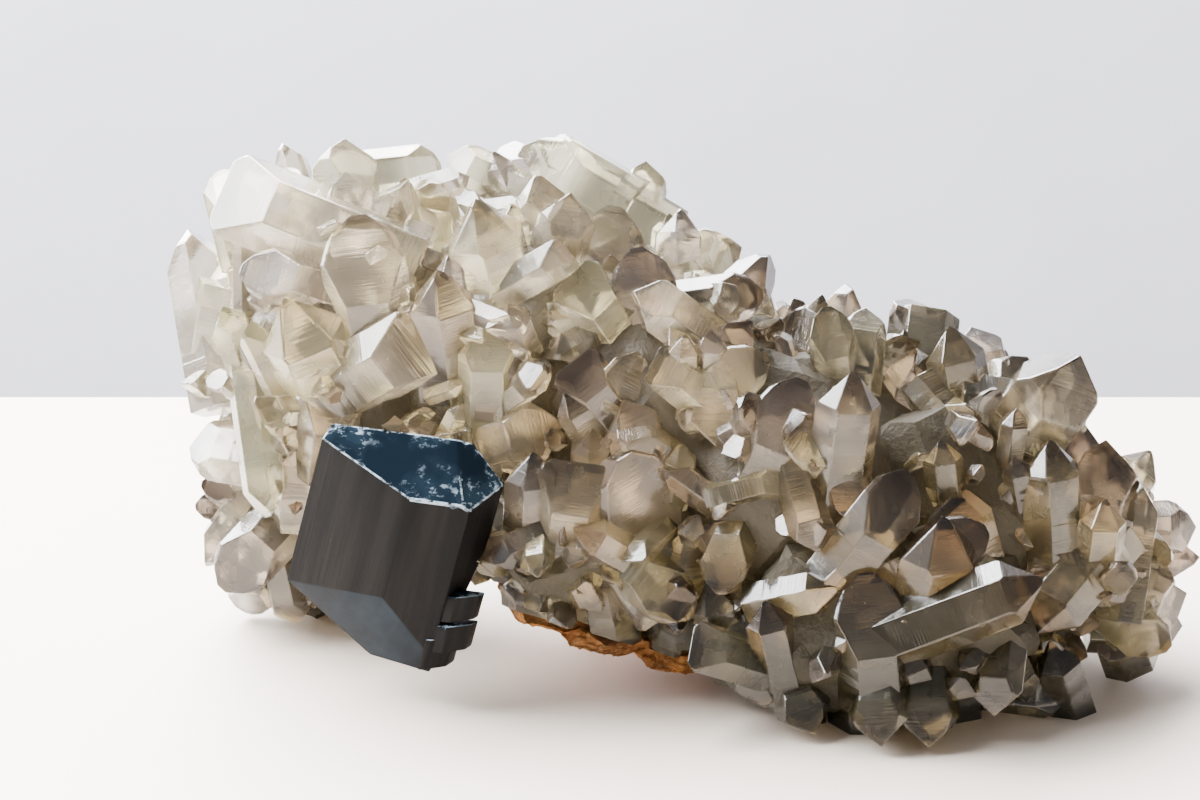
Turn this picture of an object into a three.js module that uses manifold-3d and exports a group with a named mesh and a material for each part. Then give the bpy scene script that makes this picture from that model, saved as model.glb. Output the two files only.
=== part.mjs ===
// Smoky quartz cluster with one large black crystal and a crust of rusty rock.
// Millimetres, +Z up, the specimen lying as it would on a table.

import * as THREE from 'three';
import { ConvexGeometry } from 'three/addons/geometries/ConvexGeometry.js';
import { mergeVertices } from 'three/addons/utils/BufferGeometryUtils.js';
import Module from 'manifold-3d';

const wasm = await Module();
wasm.setup();

// Every place on the front is measured square to one line of sight, which looks
// down on the specimen: u to the right, v up, both in mm from the middle of the
// front, and w towards the eye. SIGHT_DISTANCE is the eye's distance in mm.
const SIGHT_TILT = THREE.MathUtils.degToRad(20);
const SIGHT_DISTANCE = 454;

// Height of the middle of the front above the surface that the specimen lies on,
// and its distance behind the foremost crystals.
const FRONT_HEIGHT = 52.6;
const FRONT_SETBACK = 19.2;

// The slope of a quartz tip face to the crystal's length: 51.8 degrees between
// the face's normal and the long axis.
const TIP_SLOPE = THREE.MathUtils.degToRad(51.8);

// How far a crystal's root runs on into the mass, and how deep its middle line
// lies under the mass's surface there, both as parts of its width.
const ROOT_LENGTH = 0.55;
const ROOT_DEPTH = 0.3;

// The clear gap between the quartz and the two pieces set in it.
const FIT_GAP = 0.3;

// The turn from one face of a lump to the next, which spreads them evenly.
const GOLDEN_ANGLE = Math.PI * (3 - Math.sqrt(5));

// The specimen is rubbed flat where it stands.
const REST_DEPTH = 20;

// How far each of the six tip faces stands back from the point, as parts of
// the crystal's width. Zero all round is an even point.
const EVEN = [0, 0.06, 0, 0.06, 0, 0.06];
const CHISEL = [-0.12, 0.4, 0.42, 0, 0.4, 0.42];
const SLANT = [-0.45, 0.05, 0.3, 0.4, 0.3, 0.05];
const BLUNT = [-0.2, 0.1, -0.12, 0.15, -0.08, 0.05];
const TOOTH = [0.5, -0.05, 0.35, 0.5, 0, 0.35];

// The massive quartz that the crystals grow from, as overlapping lumps:
// middle (across, back, up) and half sizes.
const LUMPS = [
  { middle: [-41, 54, 44], half: [24, 22, 31] },
  { middle: [-15, 53, 46], half: [26, 23, 28] },
  { middle: [10, 46, 39], half: [26, 24, 26] },
  { middle: [2, 34, 24], half: [26, 18, 14] },
  { middle: [34, 38, 31], half: [26, 24, 24] },
  { middle: [58, 37, 26], half: [23, 19, 22] },
  { middle: [42, 48, 13], half: [20, 14, 15] },
  { middle: [79, 33, 20], half: [13, 15, 13] },
  { middle: [68, 28, 12], half: [15, 13, 11] },
  { middle: [46, 18, 14], half: [26, 16, 18] },
  { middle: [-52, 56, 17], half: [14, 13, 20] },
];

// Each lump is broken into this many flat faces, whose distances from its middle
// lie between these two parts of its half sizes.
const LUMP_FACES = 22;
const LUMP_REACH = [0.84, 1];
const LUMP_UNEVENNESS = 0.5;

// The crystals of the front. Each row is [point u, v], [root u, v], how far the
// point leans out towards the eye, width, turn about its own length in degrees,
// form of the tip, and thickness as a part of the width.
const UPPER_LEFT = [
  [[-61.6, 34], [-38, 24.5], 1, 13.2, 10, CHISEL, 0.95],
  [[-55.5, 40], [-49, 27], -3, 12, 40, BLUNT, 0.8],
  [[-40.6, 43.5], [-40.8, 29], -3, 11, 30, BLUNT, 0.8],
  [[-40.8, 37.8], [-39.5, 28], 5, 9.5, 10, BLUNT, 0.9],
  [[-26.9, 32.4], [-26.9, 29], 9, 8.5, 0, SLANT, 1],
  [[-20, 32.4], [-17, 19.5], 7, 12.5, 25, EVEN, 0.95],
  [[-39, 29], [-36.5, 13], 8, 12.5, 0, SLANT, 0.7],
  [[-57.5, 21.5], [-46, 18], 3, 8, 10, SLANT, 1],
  [[-64.8, 27.2], [-61, 6], -4, 11, 20, TOOTH, 0.9],
  [[-63.2, 1.5], [-61, 13], -3, 8.5, 10, BLUNT, 0.9],
  [[-50.6, 16.6], [-45.5, 6.5], 8, 13.5, 0, EVEN, 0.95],
  [[-27, 10.4], [-39, 3.5], 7, 11.5, 20, CHISEL, 0.9],
  [[-26, 21], [-24.5, 8], 7, 10.5, 30, EVEN, 0.95],
  [[-67, -7], [-55, -9], -6, 10, 20, BLUNT, 0.7],
  [[-42.4, 2.6], [-43.5, -6], 5, 9.5, 10, CHISEL, 0.9],
  [[-48.3, -7.5], [-48, -13.5], 8, 10, 0, BLUNT, 1],
  [[-60.8, -30.2], [-50, -18.5], 4, 9.5, 0, SLANT, 0.9],
];
const UPPER_MIDDLE = [
  [[-13.6, 42.8], [-13.2, 32], -5, 8.5, 0, BLUNT, 0.9],
  [[-12.8, 40.2], [6, 29], 4, 9.5, 0, SLANT, 0.9],
  [[-4.3, 34], [-6.5, 24], 7, 8.5, 10, BLUNT, 0.95],
  [[7.7, 39.3], [5.8, 27], 0, 7.6, 15, BLUNT, 0.8],
  [[24.2, 24.6], [13, 21], -2, 10, 20, BLUNT, 0.9],
  [[2.2, 30.2], [0.6, 20.5], 5, 11.5, 0, SLANT, 0.9],
  [[-5, 20.3], [1, 11.5], 6, 9.5, 20, CHISEL, 0.9],
  [[6.1, 23.6], [7.5, 14.5], 5, 9.6, 0, SLANT, 0.9],
  [[4.6, 18.4], [15.5, 10.5], 4, 9, 30, BLUNT, 0.9],
  [[-17.9, 12.8], [-18, 0], 6, 9, 0, BLUNT, 0.9],
];
const MIDDLE = [
  [[-4.4, -3.6], [-18.6, -6.6], 6, 11.5, 10, BLUNT, 0.9],
  [[-4.8, 6.4], [1, -1], 5, 8, 0, CHISEL, 0.9],
  [[7, 6.2], [0.6, -1], 5, 8, 30, SLANT, 0.9],
  [[26.6, 6.6], [16.8, 1.8], 4, 8, 0, SLANT, 0.9],
  [[18.4, -8.6], [18.4, 2], 6, 11, 0, BLUNT, 0.9],
  [[4, 1], [6, -7], 5, 8.5, 20, BLUNT, 0.9],
  [[-10.7, -8.2], [-11.2, -20], 6, 8.2, 20, EVEN, 0.9],
  [[-3.6, -9.6], [-5, -20.5], 8, 10.4, 0, CHISEL, 0.9],
  [[6.4, -12.5], [6.4, -17], 13, 13.5, 30, SLANT, 1],
  [[-11.2, -25.9], [-11, -31.5], 5, 8.8, 0, EVEN, 0.9],
  [[-5.8, -27.4], [0.8, -35.5], 4, 8, 20, CHISEL, 0.9],
  [[0, -24.6], [1.8, -33.5], 5, 8, 30, EVEN, 0.9],
  [[14.2, -34.2], [5.6, -27], 6, 8.6, 0, SLANT, 0.9],
  [[14.9, -19.2], [13.6, -31.5], 8, 11.8, 20, EVEN, 0.95],
  [[19.6, -19.2], [21, -27], 6, 8, 0, CHISEL, 0.9],
  [[18.8, -29.8], [21.6, -22], 7, 7.6, 30, SLANT, 0.9],
  [[17.2, -28.8], [21, -39], 5, 8, 0, EVEN, 0.9],
  [[3.4, -33.6], [4, -37.5], 3, 8, 20, BLUNT, 0.9],
];
const UPPER_RIGHT = [
  [[26, 12.2], [50, 3.6], 4, 10.5, 20, BLUNT, 0.8],
  [[48.2, 16.4], [53, 7], -2, 8.4, 0, TOOTH, 0.9],
  [[48.8, 12.2], [50.4, 3.6], 4, 8.6, 30, BLUNT, 0.9],
  [[56, 12], [58, 1], 4, 8.8, 0, EVEN, 0.9],
  [[59.4, 13], [62.4, 1.6], -3, 8.6, 20, BLUNT, 0.9],
  [[48.4, -14.4], [51.2, 7], 6, 10.2, 0, BLUNT, 0.8],
  [[40.6, 4.8], [38, -14], 7, 9.4, 10, EVEN, 0.9],
  [[32.2, 2.4], [27, -8.6], 6, 9.8, 0, SLANT, 0.9],
  [[74.9, -2.8], [64, -1.6], -1, 9.6, 10, BLUNT, 0.9],
  [[81.8, -4.8], [78.6, -19], 2, 12.4, 0, BLUNT, 0.95],
  [[72, -6.2], [72.8, -25], 6, 9.4, 20, EVEN, 0.9],
  [[86.7, -12.6], [84, -30], 0, 7.6, 20, TOOTH, 0.9],
  [[90, -23.6], [86, -34], 1, 8.4, 0, BLUNT, 0.9],
  [[95.4, -31], [86, -33], 1, 9, 20, BLUNT, 0.9],
  [[94.6, -36.4], [84, -36], 0, 8.4, 0, BLUNT, 0.9],
  [[90.8, -41], [82, -34], 2, 8.4, 30, SLANT, 0.9],
];
const LOWER_RIGHT = [
  [[50.2, -12.6], [39, -27], 6, 9.8, 20, SLANT, 0.9],
  [[42.9, -29], [44, -42], 7, 10.6, 0, SLANT, 0.9],
  [[55, -18.4], [53.4, -30], 7, 12, 20, EVEN, 0.9],
  [[61.8, -21.2], [50, -26.5], 5, 8.6, 0, SLANT, 0.9],
  [[71.2, -28.6], [47.6, -37.4], 6, 9.6, 0, EVEN, 0.95],
  [[68.8, -37.8], [78.6, -26], 6, 9.8, 30, EVEN, 0.9],
  [[80, -28.2], [83.6, -38], 5, 8.2, 0, EVEN, 0.9],
  [[62.8, -51.6], [64, -41], 5, 7.6, 20, BLUNT, 0.9],
  [[76.6, -47.4], [66, -46.4], 4, 7.6, 0, BLUNT, 0.9],
  [[72, -38.6], [74.6, -47], 5, 7.6, 30, EVEN, 0.9],
  [[41.4, -34], [42.6, -52], 6, 10.6, 0, EVEN, 0.9],
  [[34.6, -54.4], [31.6, -47], 6, 8, 0, BLUNT, 0.9],
  [[44.8, -56.6], [45, -46], 6, 9, 20, BLUNT, 0.9],
  [[52.6, -56.8], [52, -46], 6, 9.4, 0, BLUNT, 0.9],
  [[26.8, -50.6], [24.4, -41], 4, 9, 0, BLUNT, 0.9],
  [[56, -39], [57, -52], 5, 9, 20, EVEN, 0.9],
];
const FRONT_CRYSTALS = [
  ...UPPER_LEFT, ...UPPER_MIDDLE, ...MIDDLE, ...UPPER_RIGHT, ...LOWER_RIGHT,
];

// The crystals of the back, the top and the ends, which grow square out of the
// mass: how many, their widths and how many widths they stand out.
const BACK_COUNT = 29;
const BACK_WIDTHS = [8, 14];
const BACK_LENGTHS = [0.7, 1.6];
const BACK_LEAN = 0.7;
const BACK_SEED = 11;

// The large black crystal: a slab that ends in slanting faces above and below.
// Its frame stands at the lower left corner of its front face.
const BLACK = {
  corner: [-50.3, -28.8, -12],
  up: [0.285, 1, 0.37],
  right: [0.87, -0.39, 0.29],
  depth: 12.6,
};
// Its other upright faces: each one's direction and its distance from the
// front left edge.
const BLACK_SIDES = [
  { across: -0.564, back: 0.826, reach: 4.5 },
  { across: 0.707, back: 0.707, reach: 28 },
  { across: 0.351, back: -0.936, reach: 6.22 },
  { across: 0.985, back: -0.175, reach: 24.9 },
];
// Each slanting face: height at the corner, then rise per mm across and per mm
// of depth. The crystal lies below the first four and above the others.
const BLACK_TOP_FACES = [
  { height: 25, across: -0.211, back: 0.95 },
  { height: 27.2, across: -0.281, back: 0.798 },
  { height: 36.5, across: -0.655, back: 0.476 },
  { height: 28.9, across: 0.39, back: -0.6 },
];
const BLACK_FOOT_FACES = [
  { height: 0, across: 0.24, back: -2.9 },
  { height: 0, across: -0.605, back: 0.3 },
  { height: -21.6, across: 0.43, back: 0.3 },
  { height: -22, across: 0, back: 3.08 },
];
// Small black crystals on its lower right flank, side by side with it: their
// right and front faces, and their foot and top at the middle of their width.
const BLACK_SMALL = [
  { right: 30.2, front: 4, foot: 3.2, top: 7.6 },
  { right: 30.4, front: 3.5, foot: -2, top: 2.6 },
  { right: 28.2, front: 2.9, foot: -5, top: 0.2 },
];
const SMALL_LEFT = 24.5;
const SMALL_MIDDLE = 28;
const SMALL_REAR = 9;
const SMALL_CORNER = 2;
const SMALL_TOP_RISE = 0.3;
const SMALL_FOOT_RISE = 0.35;

// The crust of rusty rock under the arch, as flat lumps.
const CRUST = [
  { middle: [-7.5, 37, 11.6], half: [10, 16, 2.9] },
  { middle: [2, 35, 8.4], half: [11, 17, 2.9] },
  { middle: [12.5, 32, 5.8], half: [10, 15, 2.9] },
];

// The arch over the crust's front rim: no quartz hangs below these two lines,
// each given by a place on it and its fall per mm across.
const ARCH_LINES = [
  { across: -11.2, up: -35.6, fall: 0.3 },
  { across: 13.6, up: -43, fall: 0.74 },
];
const ARCH_LEFT = -24;
const ARCH_REACH = 60;

// A place on the front, as a point in mm with +Z up.
function fromSight(u, v, w) {
  const nearer = 1 - w / SIGHT_DISTANCE;
  const across = u * nearer;
  const up = v * nearer;
  const sin = Math.sin(SIGHT_TILT);
  const cos = Math.cos(SIGHT_TILT);
  return new THREE.Vector3(
    across,
    up * sin - w * cos + FRONT_SETBACK,
    up * cos + w * sin + FRONT_HEIGHT,
  );
}

// How near the eye the mass's surface lies along the sight line through u, v.
// A line that passes beside the mass gives the place where it comes closest.
function surfaceDepth(u, v) {
  const start = fromSight(u, v, 0);
  const step = fromSight(u, v, 1).sub(start);
  const meetings = LUMPS.map((lump) => {
    const half = new THREE.Vector3(...lump.half);
    const from = start.clone().sub(new THREE.Vector3(...lump.middle)).divide(half);
    const along = step.clone().divide(half);
    const a = along.lengthSq();
    const b = from.dot(along);
    const room = b * b - a * (from.lengthSq() - 1);
    return { room: room / a, depth: (-b + Math.sqrt(Math.max(room, 0))) / a };
  });
  const hits = meetings.filter((meeting) => meeting.room > 0);
  if (hits.length > 0) return Math.max(...hits.map((meeting) => meeting.depth));
  return meetings.reduce((best, next) => (next.room > best.room ? next : best)).depth;
}

// Numbers between 0 and 1 that look random and come out the same every time.
function numberStream(seed) {
  let state = seed;
  return () => {
    state = (state * 1664525 + 1013904223) % 4294967296;
    return state / 4294967296;
  };
}

// The closed solid that lies inside a list of planes.
function solidInsidePlanes(planes) {
  const points = [];
  const corner = new THREE.Vector3();
  const matrix = new THREE.Matrix3();
  for (let i = 0; i < planes.length; i += 1) {
    for (let j = i + 1; j < planes.length; j += 1) {
      for (let k = j + 1; k < planes.length; k += 1) {
        const [a, b, c] = [planes[i].normal, planes[j].normal, planes[k].normal];
        matrix.set(a.x, a.y, a.z, b.x, b.y, b.z, c.x, c.y, c.z);
        if (Math.abs(matrix.determinant()) < 1e-4) continue;
        corner.set(-planes[i].constant, -planes[j].constant, -planes[k].constant);
        corner.applyMatrix3(matrix.invert());
        const isInside = planes.every((plane) => plane.distanceToPoint(corner) < 1e-5);
        const isNew = points.every((point) => point.distanceTo(corner) > 1e-3);
        if (isInside && isNew) points.push(corner.clone());
      }
    }
  }
  return asManifold(new ConvexGeometry(points));
}

function asManifold(geometry) {
  const bare = geometry.clone();
  bare.deleteAttribute('normal');
  bare.deleteAttribute('uv');
  const merged = mergeVertices(bare, 1e-4);
  return new wasm.Manifold(new wasm.Mesh({
    numProp: 3,
    vertProperties: new Float32Array(merged.attributes.position.array),
    triVerts: new Uint32Array(merged.index.array),
  }));
}

// A hexagonal crystal from root to point. grow pushes every face outwards.
function crystalSolid(root, point, width, turn, tip, thickness, grow) {
  const axis = point.clone().sub(root).normalize();
  const eye = new THREE.Vector3(0, -Math.cos(SIGHT_TILT), Math.sin(SIGHT_TILT));
  let side = eye.clone().addScaledVector(axis, -eye.dot(axis));
  if (side.length() < 0.2) side = new THREE.Vector3(0, 0, 1).cross(axis);
  side.normalize().applyAxisAngle(axis, THREE.MathUtils.degToRad(turn));
  const planes = [];
  for (let face = 0; face < 6; face += 1) {
    const outward = side.clone().applyAxisAngle(axis, (face * Math.PI) / 3);
    const apothem = (width / 2) * (face % 3 === 0 ? thickness : 1);
    const wall = root.clone().addScaledVector(outward, apothem + grow);
    planes.push(new THREE.Plane().setFromNormalAndCoplanarPoint(outward, wall));
    const slope = outward.clone().multiplyScalar(Math.sin(TIP_SLOPE));
    slope.addScaledVector(axis, Math.cos(TIP_SLOPE));
    const crest = point.clone().addScaledVector(axis, tip[face] * width);
    crest.addScaledVector(slope, grow);
    planes.push(new THREE.Plane().setFromNormalAndCoplanarPoint(slope, crest));
  }
  const back = axis.clone().negate();
  const base = root.clone().addScaledVector(back, ROOT_LENGTH * width);
  planes.push(new THREE.Plane().setFromNormalAndCoplanarPoint(back, base));
  return solidInsidePlanes(planes);
}

// One crystal of the front tables, rooted at the given depth.
function frontCrystal(row, rootDepth, grow) {
  const [point, root, out, width, turn, tip, thickness] = row;
  const foot = fromSight(root[0], root[1], rootDepth);
  const crest = fromSight(point[0], point[1], rootDepth + out);
  return crystalSolid(foot, crest, width, turn, tip, thickness, grow);
}

function frontCrystals(grow) {
  return FRONT_CRYSTALS.map((row) => {
    const [, root, , width] = row;
    const depth = surfaceDepth(root[0], root[1]) - ROOT_DEPTH * width;
    return frontCrystal(row, depth, grow);
  });
}

// The crystals that the front doesn't show, spread over the rest of the mass.
function backCrystals(grow) {
  const next = numberStream(BACK_SEED);
  const between = ([low, high]) => low + (high - low) * next();
  const tips = [EVEN, CHISEL, SLANT, BLUNT, TOOTH];
  const solids = [];
  while (solids.length < BACK_COUNT) {
    const lump = LUMPS[Math.floor(next() * (LUMPS.length - 1))];
    const height = next() * 2 - 1;
    const around = next() * Math.PI * 2;
    const width = between(BACK_WIDTHS);
    const length = width * between(BACK_LENGTHS);
    const lean = new THREE.Vector3(next() - 0.5, next() - 0.5, next() - 0.5);
    const turn = next() * 60;
    const tip = tips[Math.floor(next() * tips.length)];
    const ring = Math.sqrt(1 - height * height);
    const outward = new THREE.Vector3(Math.cos(around) * ring, Math.sin(around) * ring, height);
    const half = new THREE.Vector3(...lump.half);
    const middle = new THREE.Vector3(...lump.middle);
    const skin = outward.clone().multiply(half).add(middle);
    const facesFront = outward.y < 0.1 && !(outward.z > 0.75 && outward.y > -0.25);
    if (facesFront || outward.z < -0.55 || isBuried(skin)) continue;
    const direction = outward.clone().divide(half).normalize();
    direction.addScaledVector(lean, BACK_LEAN).normalize();
    const root = skin.clone().addScaledVector(direction, -ROOT_DEPTH * width);
    const point = root.clone().addScaledVector(direction, length);
    solids.push(crystalSolid(root, point, width, turn, tip, 0.9, grow));
  }
  return solids;
}

// Whether a point of one lump's skin lies inside another lump.
function isBuried(skin) {
  return LUMPS.some((lump) => {
    const half = new THREE.Vector3(...lump.half);
    const from = skin.clone().sub(new THREE.Vector3(...lump.middle)).divide(half);
    return from.length() < 0.97;
  });
}

// A lump of rock with flat, broken faces, turned evenly all round it and then
// a little out of true.
function lumpSolid(lump, grow) {
  const next = numberStream(Math.round(1000 + lump.middle[0] * 10 + lump.half[0]));
  const middle = new THREE.Vector3(...lump.middle);
  const half = new THREE.Vector3(...lump.half);
  const planes = [];
  for (let face = 0; face < LUMP_FACES; face += 1) {
    const height = 1 - (2 * face + 1) / LUMP_FACES;
    const around = face * GOLDEN_ANGLE;
    const ring = Math.sqrt(1 - height * height);
    const outward = new THREE.Vector3(Math.cos(around) * ring, Math.sin(around) * ring, height);
    const jolt = new THREE.Vector3(next() - 0.5, next() - 0.5, next() - 0.5);
    outward.addScaledVector(jolt, LUMP_UNEVENNESS).normalize();
    const reach = LUMP_REACH[0] + (LUMP_REACH[1] - LUMP_REACH[0]) * next();
    const normal = outward.clone().divide(half).normalize();
    const place = outward.clone().multiplyScalar(reach).multiply(half).add(middle);
    place.addScaledVector(normal, grow);
    planes.push(new THREE.Plane().setFromNormalAndCoplanarPoint(normal, place));
  }
  return solidInsidePlanes(planes);
}

// Everything below the surface that the specimen lies on.
function groundSolid() {
  const ground = new THREE.BoxGeometry(400, 400, REST_DEPTH);
  ground.translate(0, 0, -REST_DEPTH / 2);
  return asManifold(ground);
}

function joined(solids) {
  return solids.reduce((whole, solid) => whole.add(solid));
}

// The one body that holds nearly all of a solid: sealed bubbles and chips that
// touch nothing are left out.
function mainBody(solid) {
  const bodies = solid.decompose();
  return bodies.reduce((largest, body) => (body.volume() > largest.volume() ? body : largest));
}

function blackSolid(grow) {
  const up = new THREE.Vector3(...BLACK.up).normalize();
  const right = new THREE.Vector3(...BLACK.right);
  right.addScaledVector(up, -right.dot(up)).normalize();
  const back = new THREE.Vector3().crossVectors(up, right);
  const corner = new THREE.Vector3(...BLACK.corner);
  const plane = ([x, y, z, reach]) => {
    const normal = new THREE.Vector3();
    normal.addScaledVector(right, x).addScaledVector(back, y).addScaledVector(up, z);
    const size = normal.length();
    normal.divideScalar(size);
    const through = corner.clone().addScaledVector(normal, reach / size + grow);
    const outward = sightDirection(normal);
    const place = fromSight(through.x, through.y, through.z);
    return new THREE.Plane().setFromNormalAndCoplanarPoint(outward, place);
  };
  const large = [
    [0, -1, 0, 0],
    [0, 1, 0, BLACK.depth],
    [-1, 0, 0, 0],
    ...BLACK_SIDES.map((face) => [face.across, face.back, 0, face.reach]),
    ...BLACK_TOP_FACES.map((face) => [-face.across, -face.back, 1, face.height]),
    ...BLACK_FOOT_FACES.map((face) => [face.across, face.back, -1, -face.height]),
  ];
  const small = BLACK_SMALL.map(({ right: side, front, foot, top }) => [
    [0, -1, 0, -front],
    [0, 1, 0, SMALL_REAR],
    [-1, 0, 0, -SMALL_LEFT],
    [1, 0, 0, side],
    [1, -1, 0, side - front - SMALL_CORNER],
    [-SMALL_TOP_RISE, 0, 1, top - SMALL_TOP_RISE * SMALL_MIDDLE],
    [SMALL_FOOT_RISE, 0, -1, SMALL_FOOT_RISE * SMALL_MIDDLE - foot],
  ]);
  return joined([large, ...small].map((faces) => solidInsidePlanes(faces.map(plane))));
}

// A direction given as u, v, w, turned into one with +Z up.
function sightDirection(direction) {
  const { x, y, z } = direction;
  const sin = Math.sin(SIGHT_TILT);
  const cos = Math.cos(SIGHT_TILT);
  return new THREE.Vector3(x, y * sin - z * cos, y * cos + z * sin);
}

function crustSolid(grow) {
  return joined(CRUST.map((lump) => lumpSolid(lump, grow)));
}

// The space under the arch, seen along the line of sight.
function archSolid() {
  const planes = [];
  const addPlane = (normal, u, v, w) => {
    const outward = sightDirection(normal).normalize();
    planes.push(new THREE.Plane().setFromNormalAndCoplanarPoint(outward, fromSight(u, v, w)));
  };
  for (const line of ARCH_LINES) {
    addPlane(new THREE.Vector3(line.fall, 1, 0), line.across, line.up, 0);
  }
  addPlane(new THREE.Vector3(-1, 0, 0), ARCH_LEFT, 0, 0);
  addPlane(new THREE.Vector3(0, -1, 0), 0, -2 * ARCH_REACH, 0);
  addPlane(new THREE.Vector3(0, 0, 1), 0, 0, ARCH_REACH);
  addPlane(new THREE.Vector3(0, 0, -1), 0, 0, -ARCH_REACH);
  return solidInsidePlanes(planes);
}

function quartzSolid() {
  const lumps = LUMPS.map((lump) => lumpSolid(lump, 0));
  const grown = joined([...lumps, ...frontCrystals(0), ...backCrystals(0)]);
  const opened = grown.subtract(archSolid());
  return opened.subtract(crustSolid(FIT_GAP)).subtract(blackSolid(FIT_GAP));
}

// A solid as a named mesh with its own material.
function namedMesh(name, solid, colour, roughness) {
  const { numProp, vertProperties, triVerts } = solid.getMesh();
  const geometry = new THREE.BufferGeometry();
  const places = new THREE.InterleavedBuffer(vertProperties, numProp);
  geometry.setAttribute('position', new THREE.InterleavedBufferAttribute(places, 3, 0));
  geometry.setIndex(new THREE.BufferAttribute(triVerts, 1));
  const material = new THREE.MeshStandardMaterial({ color: colour, roughness, metalness: 0 });
  const mesh = new THREE.Mesh(geometry, material);
  mesh.name = name;
  return mesh;
}

const ground = groundSolid();
const pieces = [
  namedMesh('quartz_cluster', mainBody(quartzSolid().subtract(ground)), 0xb9ad94, 0.2),
  namedMesh('black_crystal', mainBody(blackSolid(0).subtract(ground)), 0x23262b, 0.25),
  namedMesh('rusty_matrix', mainBody(crustSolid(0).subtract(ground)), 0xa8642e, 0.9),
];

const group = new THREE.Group();
group.add(...pieces);

// The origin is the middle of the specimen's footprint box, on the surface.
const box = new THREE.Box3().setFromObject(group);
group.position.set(-(box.min.x + box.max.x) / 2, -(box.min.y + box.max.y) / 2, -box.min.z);

export default group;
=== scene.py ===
"""A smoky quartz cluster with a large black crystal and a crust of rusty rock.

Each group of pieces has its own operator. Places on the front are given as the
specimen is seen: u to the right, v up and w towards the eye, in millimetres.
"""

import itertools
import math
import random

import bpy
import numpy as np
from bpy.props import FloatProperty, FloatVectorProperty, IntProperty, PointerProperty
from bpy.types import Operator, Panel, PropertyGroup
from mathutils import Matrix, Vector


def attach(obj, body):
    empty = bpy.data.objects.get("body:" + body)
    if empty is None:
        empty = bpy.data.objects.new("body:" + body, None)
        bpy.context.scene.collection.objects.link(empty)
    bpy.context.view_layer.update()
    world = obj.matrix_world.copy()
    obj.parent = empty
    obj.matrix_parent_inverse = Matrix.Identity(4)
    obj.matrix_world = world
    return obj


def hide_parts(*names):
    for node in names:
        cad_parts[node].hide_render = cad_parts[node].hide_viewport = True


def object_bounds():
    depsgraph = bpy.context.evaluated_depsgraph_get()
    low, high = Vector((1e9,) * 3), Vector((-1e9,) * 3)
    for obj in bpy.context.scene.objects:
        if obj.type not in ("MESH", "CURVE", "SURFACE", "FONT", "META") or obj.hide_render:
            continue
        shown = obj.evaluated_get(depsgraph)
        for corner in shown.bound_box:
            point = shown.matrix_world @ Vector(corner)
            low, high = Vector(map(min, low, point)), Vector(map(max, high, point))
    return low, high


bl_info = {
    "name": "Smoky Quartz Cluster",
    "version": (1, 0, 0),
    "blender": (4, 5, 0),
    "location": "3D View > Sidebar > Quartz",
    "description": "Builds a smoky quartz cluster with a black crystal and its rusty rock",
    "category": "Add Mesh",
}

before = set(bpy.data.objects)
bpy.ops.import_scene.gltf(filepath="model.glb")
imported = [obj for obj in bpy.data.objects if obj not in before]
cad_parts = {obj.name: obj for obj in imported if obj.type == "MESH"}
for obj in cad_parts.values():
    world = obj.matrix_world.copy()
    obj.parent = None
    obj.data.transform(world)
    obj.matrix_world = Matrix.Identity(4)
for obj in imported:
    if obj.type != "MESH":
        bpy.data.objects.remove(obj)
CAD_BOX = [list(corner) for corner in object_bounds()]

MM = 0.001

# The line of sight looks 20 degrees down on the front from 454 mm away.
SIGHT_TILT = math.radians(20)
SIGHT_DISTANCE = 454
FRONT_HEIGHT = 52.6
FRONT_SETBACK = 19.2
MIDDLE_OF_BOX = Vector((-13.379, -44.419, 0))
TO_EYE = Vector((0, -math.cos(SIGHT_TILT), math.sin(SIGHT_TILT)))
NOWHERE = Vector((0, 0, 0))

# Between the normal of a quartz tip face and the crystal's length.
TIP_SLOPE = math.radians(51.8)

# How deep a crystal's middle line starts under the mass, and how much further
# in its root reaches, both as parts of its width, and how thick most of them are.
ROOT_DEPTH = 0.3
ROOT_LENGTH = 0.75
THICKNESS = 0.9

# A crystal's template has width 1: its length from the point, and how much of it
# is tip, which isn't shortened with the rest. It's cut from a higher bar.
TEMPLATE_LENGTH = 3.2
TEMPLATE_TOP = 0.7
TIP_ZONE = 1.12
SMALL_EDGE = 0.03
# Its growth steps: how far apart, how high each is, and how far the first is
# below the tip and the last above the root.
STEP_GAPS = (0.16, 0.42)
STEP_HEIGHT = 0.03
FIRST_STEP = 0.25
LAST_STEP = 0.4

# The growth layer in units of a centimetre, set apart from side to side, and how
# far down from the point the tint layer runs from 1 to 0, for width 1.
GROWTH_SCALE = 0.1
SIDE_SHIFT = 1.7
TINTED_LENGTH = 1.5
ROCK_TONE = 2

# How far each of the six tip faces stands off the point, in widths.
EVEN = (0, 0.06, 0, 0.06, 0, 0.06)
CHISEL = (-0.12, 0.4, 0.42, 0, 0.4, 0.42)
SLANT = (-0.45, 0.05, 0.3, 0.4, 0.3, 0.05)
BLUNT = (-0.2, 0.1, -0.12, 0.15, -0.08, 0.05)
TOOTH = (0.5, -0.05, 0.35, 0.5, 0, 0.35)
TIP_FORMS = (EVEN, CHISEL, SLANT, BLUNT, TOOTH)

# The massive quartz under the crystals: middle and half sizes of each lump.
LUMPS = (
    ((-41, 54, 44), (24, 22, 31)),
    ((-15, 53, 46), (26, 23, 28)),
    ((10, 46, 39), (26, 24, 26)),
    ((2, 34, 24), (26, 18, 14)),
    ((34, 38, 31), (26, 24, 24)),
    ((58, 37, 26), (23, 19, 22)),
    ((42, 48, 13), (20, 14, 15)),
    ((79, 33, 20), (13, 15, 13)),
    ((68, 28, 12), (15, 13, 11)),
    ((46, 18, 14), (26, 16, 18)),
    ((-52, 56, 17), (14, 13, 20)),
)
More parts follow.
